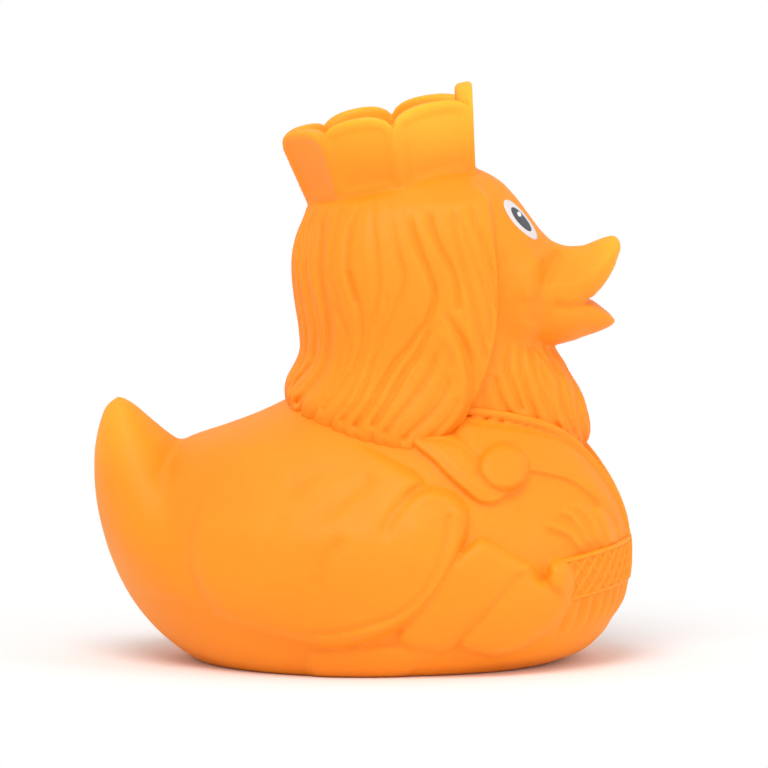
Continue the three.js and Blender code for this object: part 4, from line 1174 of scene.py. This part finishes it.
def film_object(name, side, oval, mat, replaced):
    """A thin oval film that follows the face."""
    half_width, half_height, lift = oval
    place, normal, across, up = eye_frame(side)
    lean = -side * EYE_LEAN
    rings = FILM_RINGS
    spokes = FILM_SPOKES
    top = []
    for r in range(rings + 1):
        for s in range(spokes):
            turn = 2 * math.pi * s / spokes
            a = half_width * math.cos(turn) * r / rings
            b = half_height * math.sin(turn) * r / rings
            a, b = a * math.cos(lean) - b * math.sin(lean), a * math.sin(lean) + b * math.cos(lean)
            start = place + across * a + up * b + normal * 3
            top.append(face_hit(start, -normal))
    top = np.array(top)
    root = normal * FILM_ROOT
    film = np.concatenate([top + normal * lift, top[-spokes:] - root, [top[0] - root]])
    faces = []
    for r in range(rings):
        for s in range(spokes):
            a, b = r * spokes + s, r * spokes + (s + 1) % spokes
            c, d = (r + 1) * spokes + (s + 1) % spokes, (r + 1) * spokes + s
            faces.append([a, d, c, b] if r else [0, d, c])
    under = (rings + 1) * spokes
    last = rings * spokes
    for s in range(spokes):
        n = (s + 1) % spokes
        faces.append([last + s, under + s, under + n, last + n])
        faces.append([under + n, under + s, len(film) - 1])
    obj = mesh_object(name, film, faces, mat)
    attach(obj, "root")
    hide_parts(replaced)


def glint(mat):
    """A small white spot printed on the dark of the eye."""
    tree = mat.node_tree
    shader = next(n for n in tree.nodes if n.type == "BSDF_PRINCIPLED")
    below = shader.inputs["Base Color"].links[0].from_socket
    # both eyes at once, by the distance from the middle plane
    place = face_hit((GLINT[0], -25, GLINT[1]), np.array([0.0, 1.0, 0.0]))
    middle = [abs(value) * MM for value in place]
    off = coordinates(tree)
    for operation, values in (("ABSOLUTE", {}), ("SUBTRACT", {1: middle}), ("MULTIPLY", {1: (1, 0.5, 1)})):
        off = node(tree, "VectorMath", {0: off, **values}, operation=operation).outputs["Vector"]
    spot = faded(tree, "LENGTH", {0: off}, GLINT_RADIUS * 0.85, GLINT_RADIUS * 1.15, 1, 0, "LINEAR")
    tree.links.new(laid_over(tree, below, GLINT_COLOUR, spot), shader.inputs["Base Color"])


white = print_material("eye_white", (0.7, 0.65, 0.65), (0.74, 0.69, 0.69))
grey = print_material("eye_grey", (0.045, 0.052, 0.065), (0.055, 0.062, 0.075))
glint(grey)
for side, word in ((-1, "right"), (1, "left")):
    film_object("white_" + word, side, WHITE_OVAL, white, "eye_white_" + word)
    film_object("dark_" + word, side, DARK_OVAL, grey, "pupil_" + word)


# Floor and light

floor_mat = floor_material()
bpy.ops.mesh.primitive_plane_add(size=6)
floor = bpy.context.object
floor.name = "floor"
floor.data.materials.append(floor_mat)

world = bpy.data.worlds.new("studio")
bpy.context.scene.world = world
world.use_nodes = True
tree = world.node_tree
tree.nodes.clear()
light = node(tree, "Background", {"Color": WHITE, "Strength": 0.75}).outputs["Background"]
backdrop = node(tree, "Background", {"Color": WHITE, "Strength": 1.0}).outputs["Background"]
seen = node(tree, "LightPath", {}).outputs["Is Camera Ray"]
mix = node(tree, "MixShader", {"Fac": seen, 1: light, 2: backdrop})
node(tree, "OutputWorld", {"Surface": mix.outputs["Shader"]})


def area_light(name, place, power):
    """A round light aimed at the middle of the duck."""
    data = bpy.data.lights.new(name, "AREA")
    data.shape = "DISK"
    data.size = 0.5
    data.energy = power
    obj = bpy.data.objects.new(name, data)
    obj.location = place
    obj.rotation_euler = (Vector((0, 0, 0.045)) - Vector(place)).to_track_quat("-Z", "Y").to_euler()
    bpy.context.scene.collection.objects.link(obj)


area_light("key", (-0.1, -0.52, 0.78), 4.4)
area_light("fill", (0.7, -0.4, 0.3), 1.2)


# Camera, beside the duck and a little above it

DISTANCE = 2.0
PIXELS_PER_MM = 6.33
WIDTH = 768
SENSOR = 36.0
CENTRE = (3.3, 43.5)
camera_data = bpy.data.cameras.new("camera")
camera_data.sensor_width = SENSOR
camera_data.lens = SENSOR * PIXELS_PER_MM * DISTANCE / MM / WIDTH
camera = bpy.data.objects.new("camera", camera_data)
camera.location = (
    CENTRE[0] * MM,
    -DISTANCE * math.cos(VIEW_RISE),
    CENTRE[1] * MM + DISTANCE * math.sin(VIEW_RISE),
)
camera.rotation_euler = (math.pi / 2 - VIEW_RISE, 0, 0)
bpy.context.scene.collection.objects.link(camera)
bpy.context.scene.camera = camera
bpy.context.scene.view_settings.view_transform = "Standard"
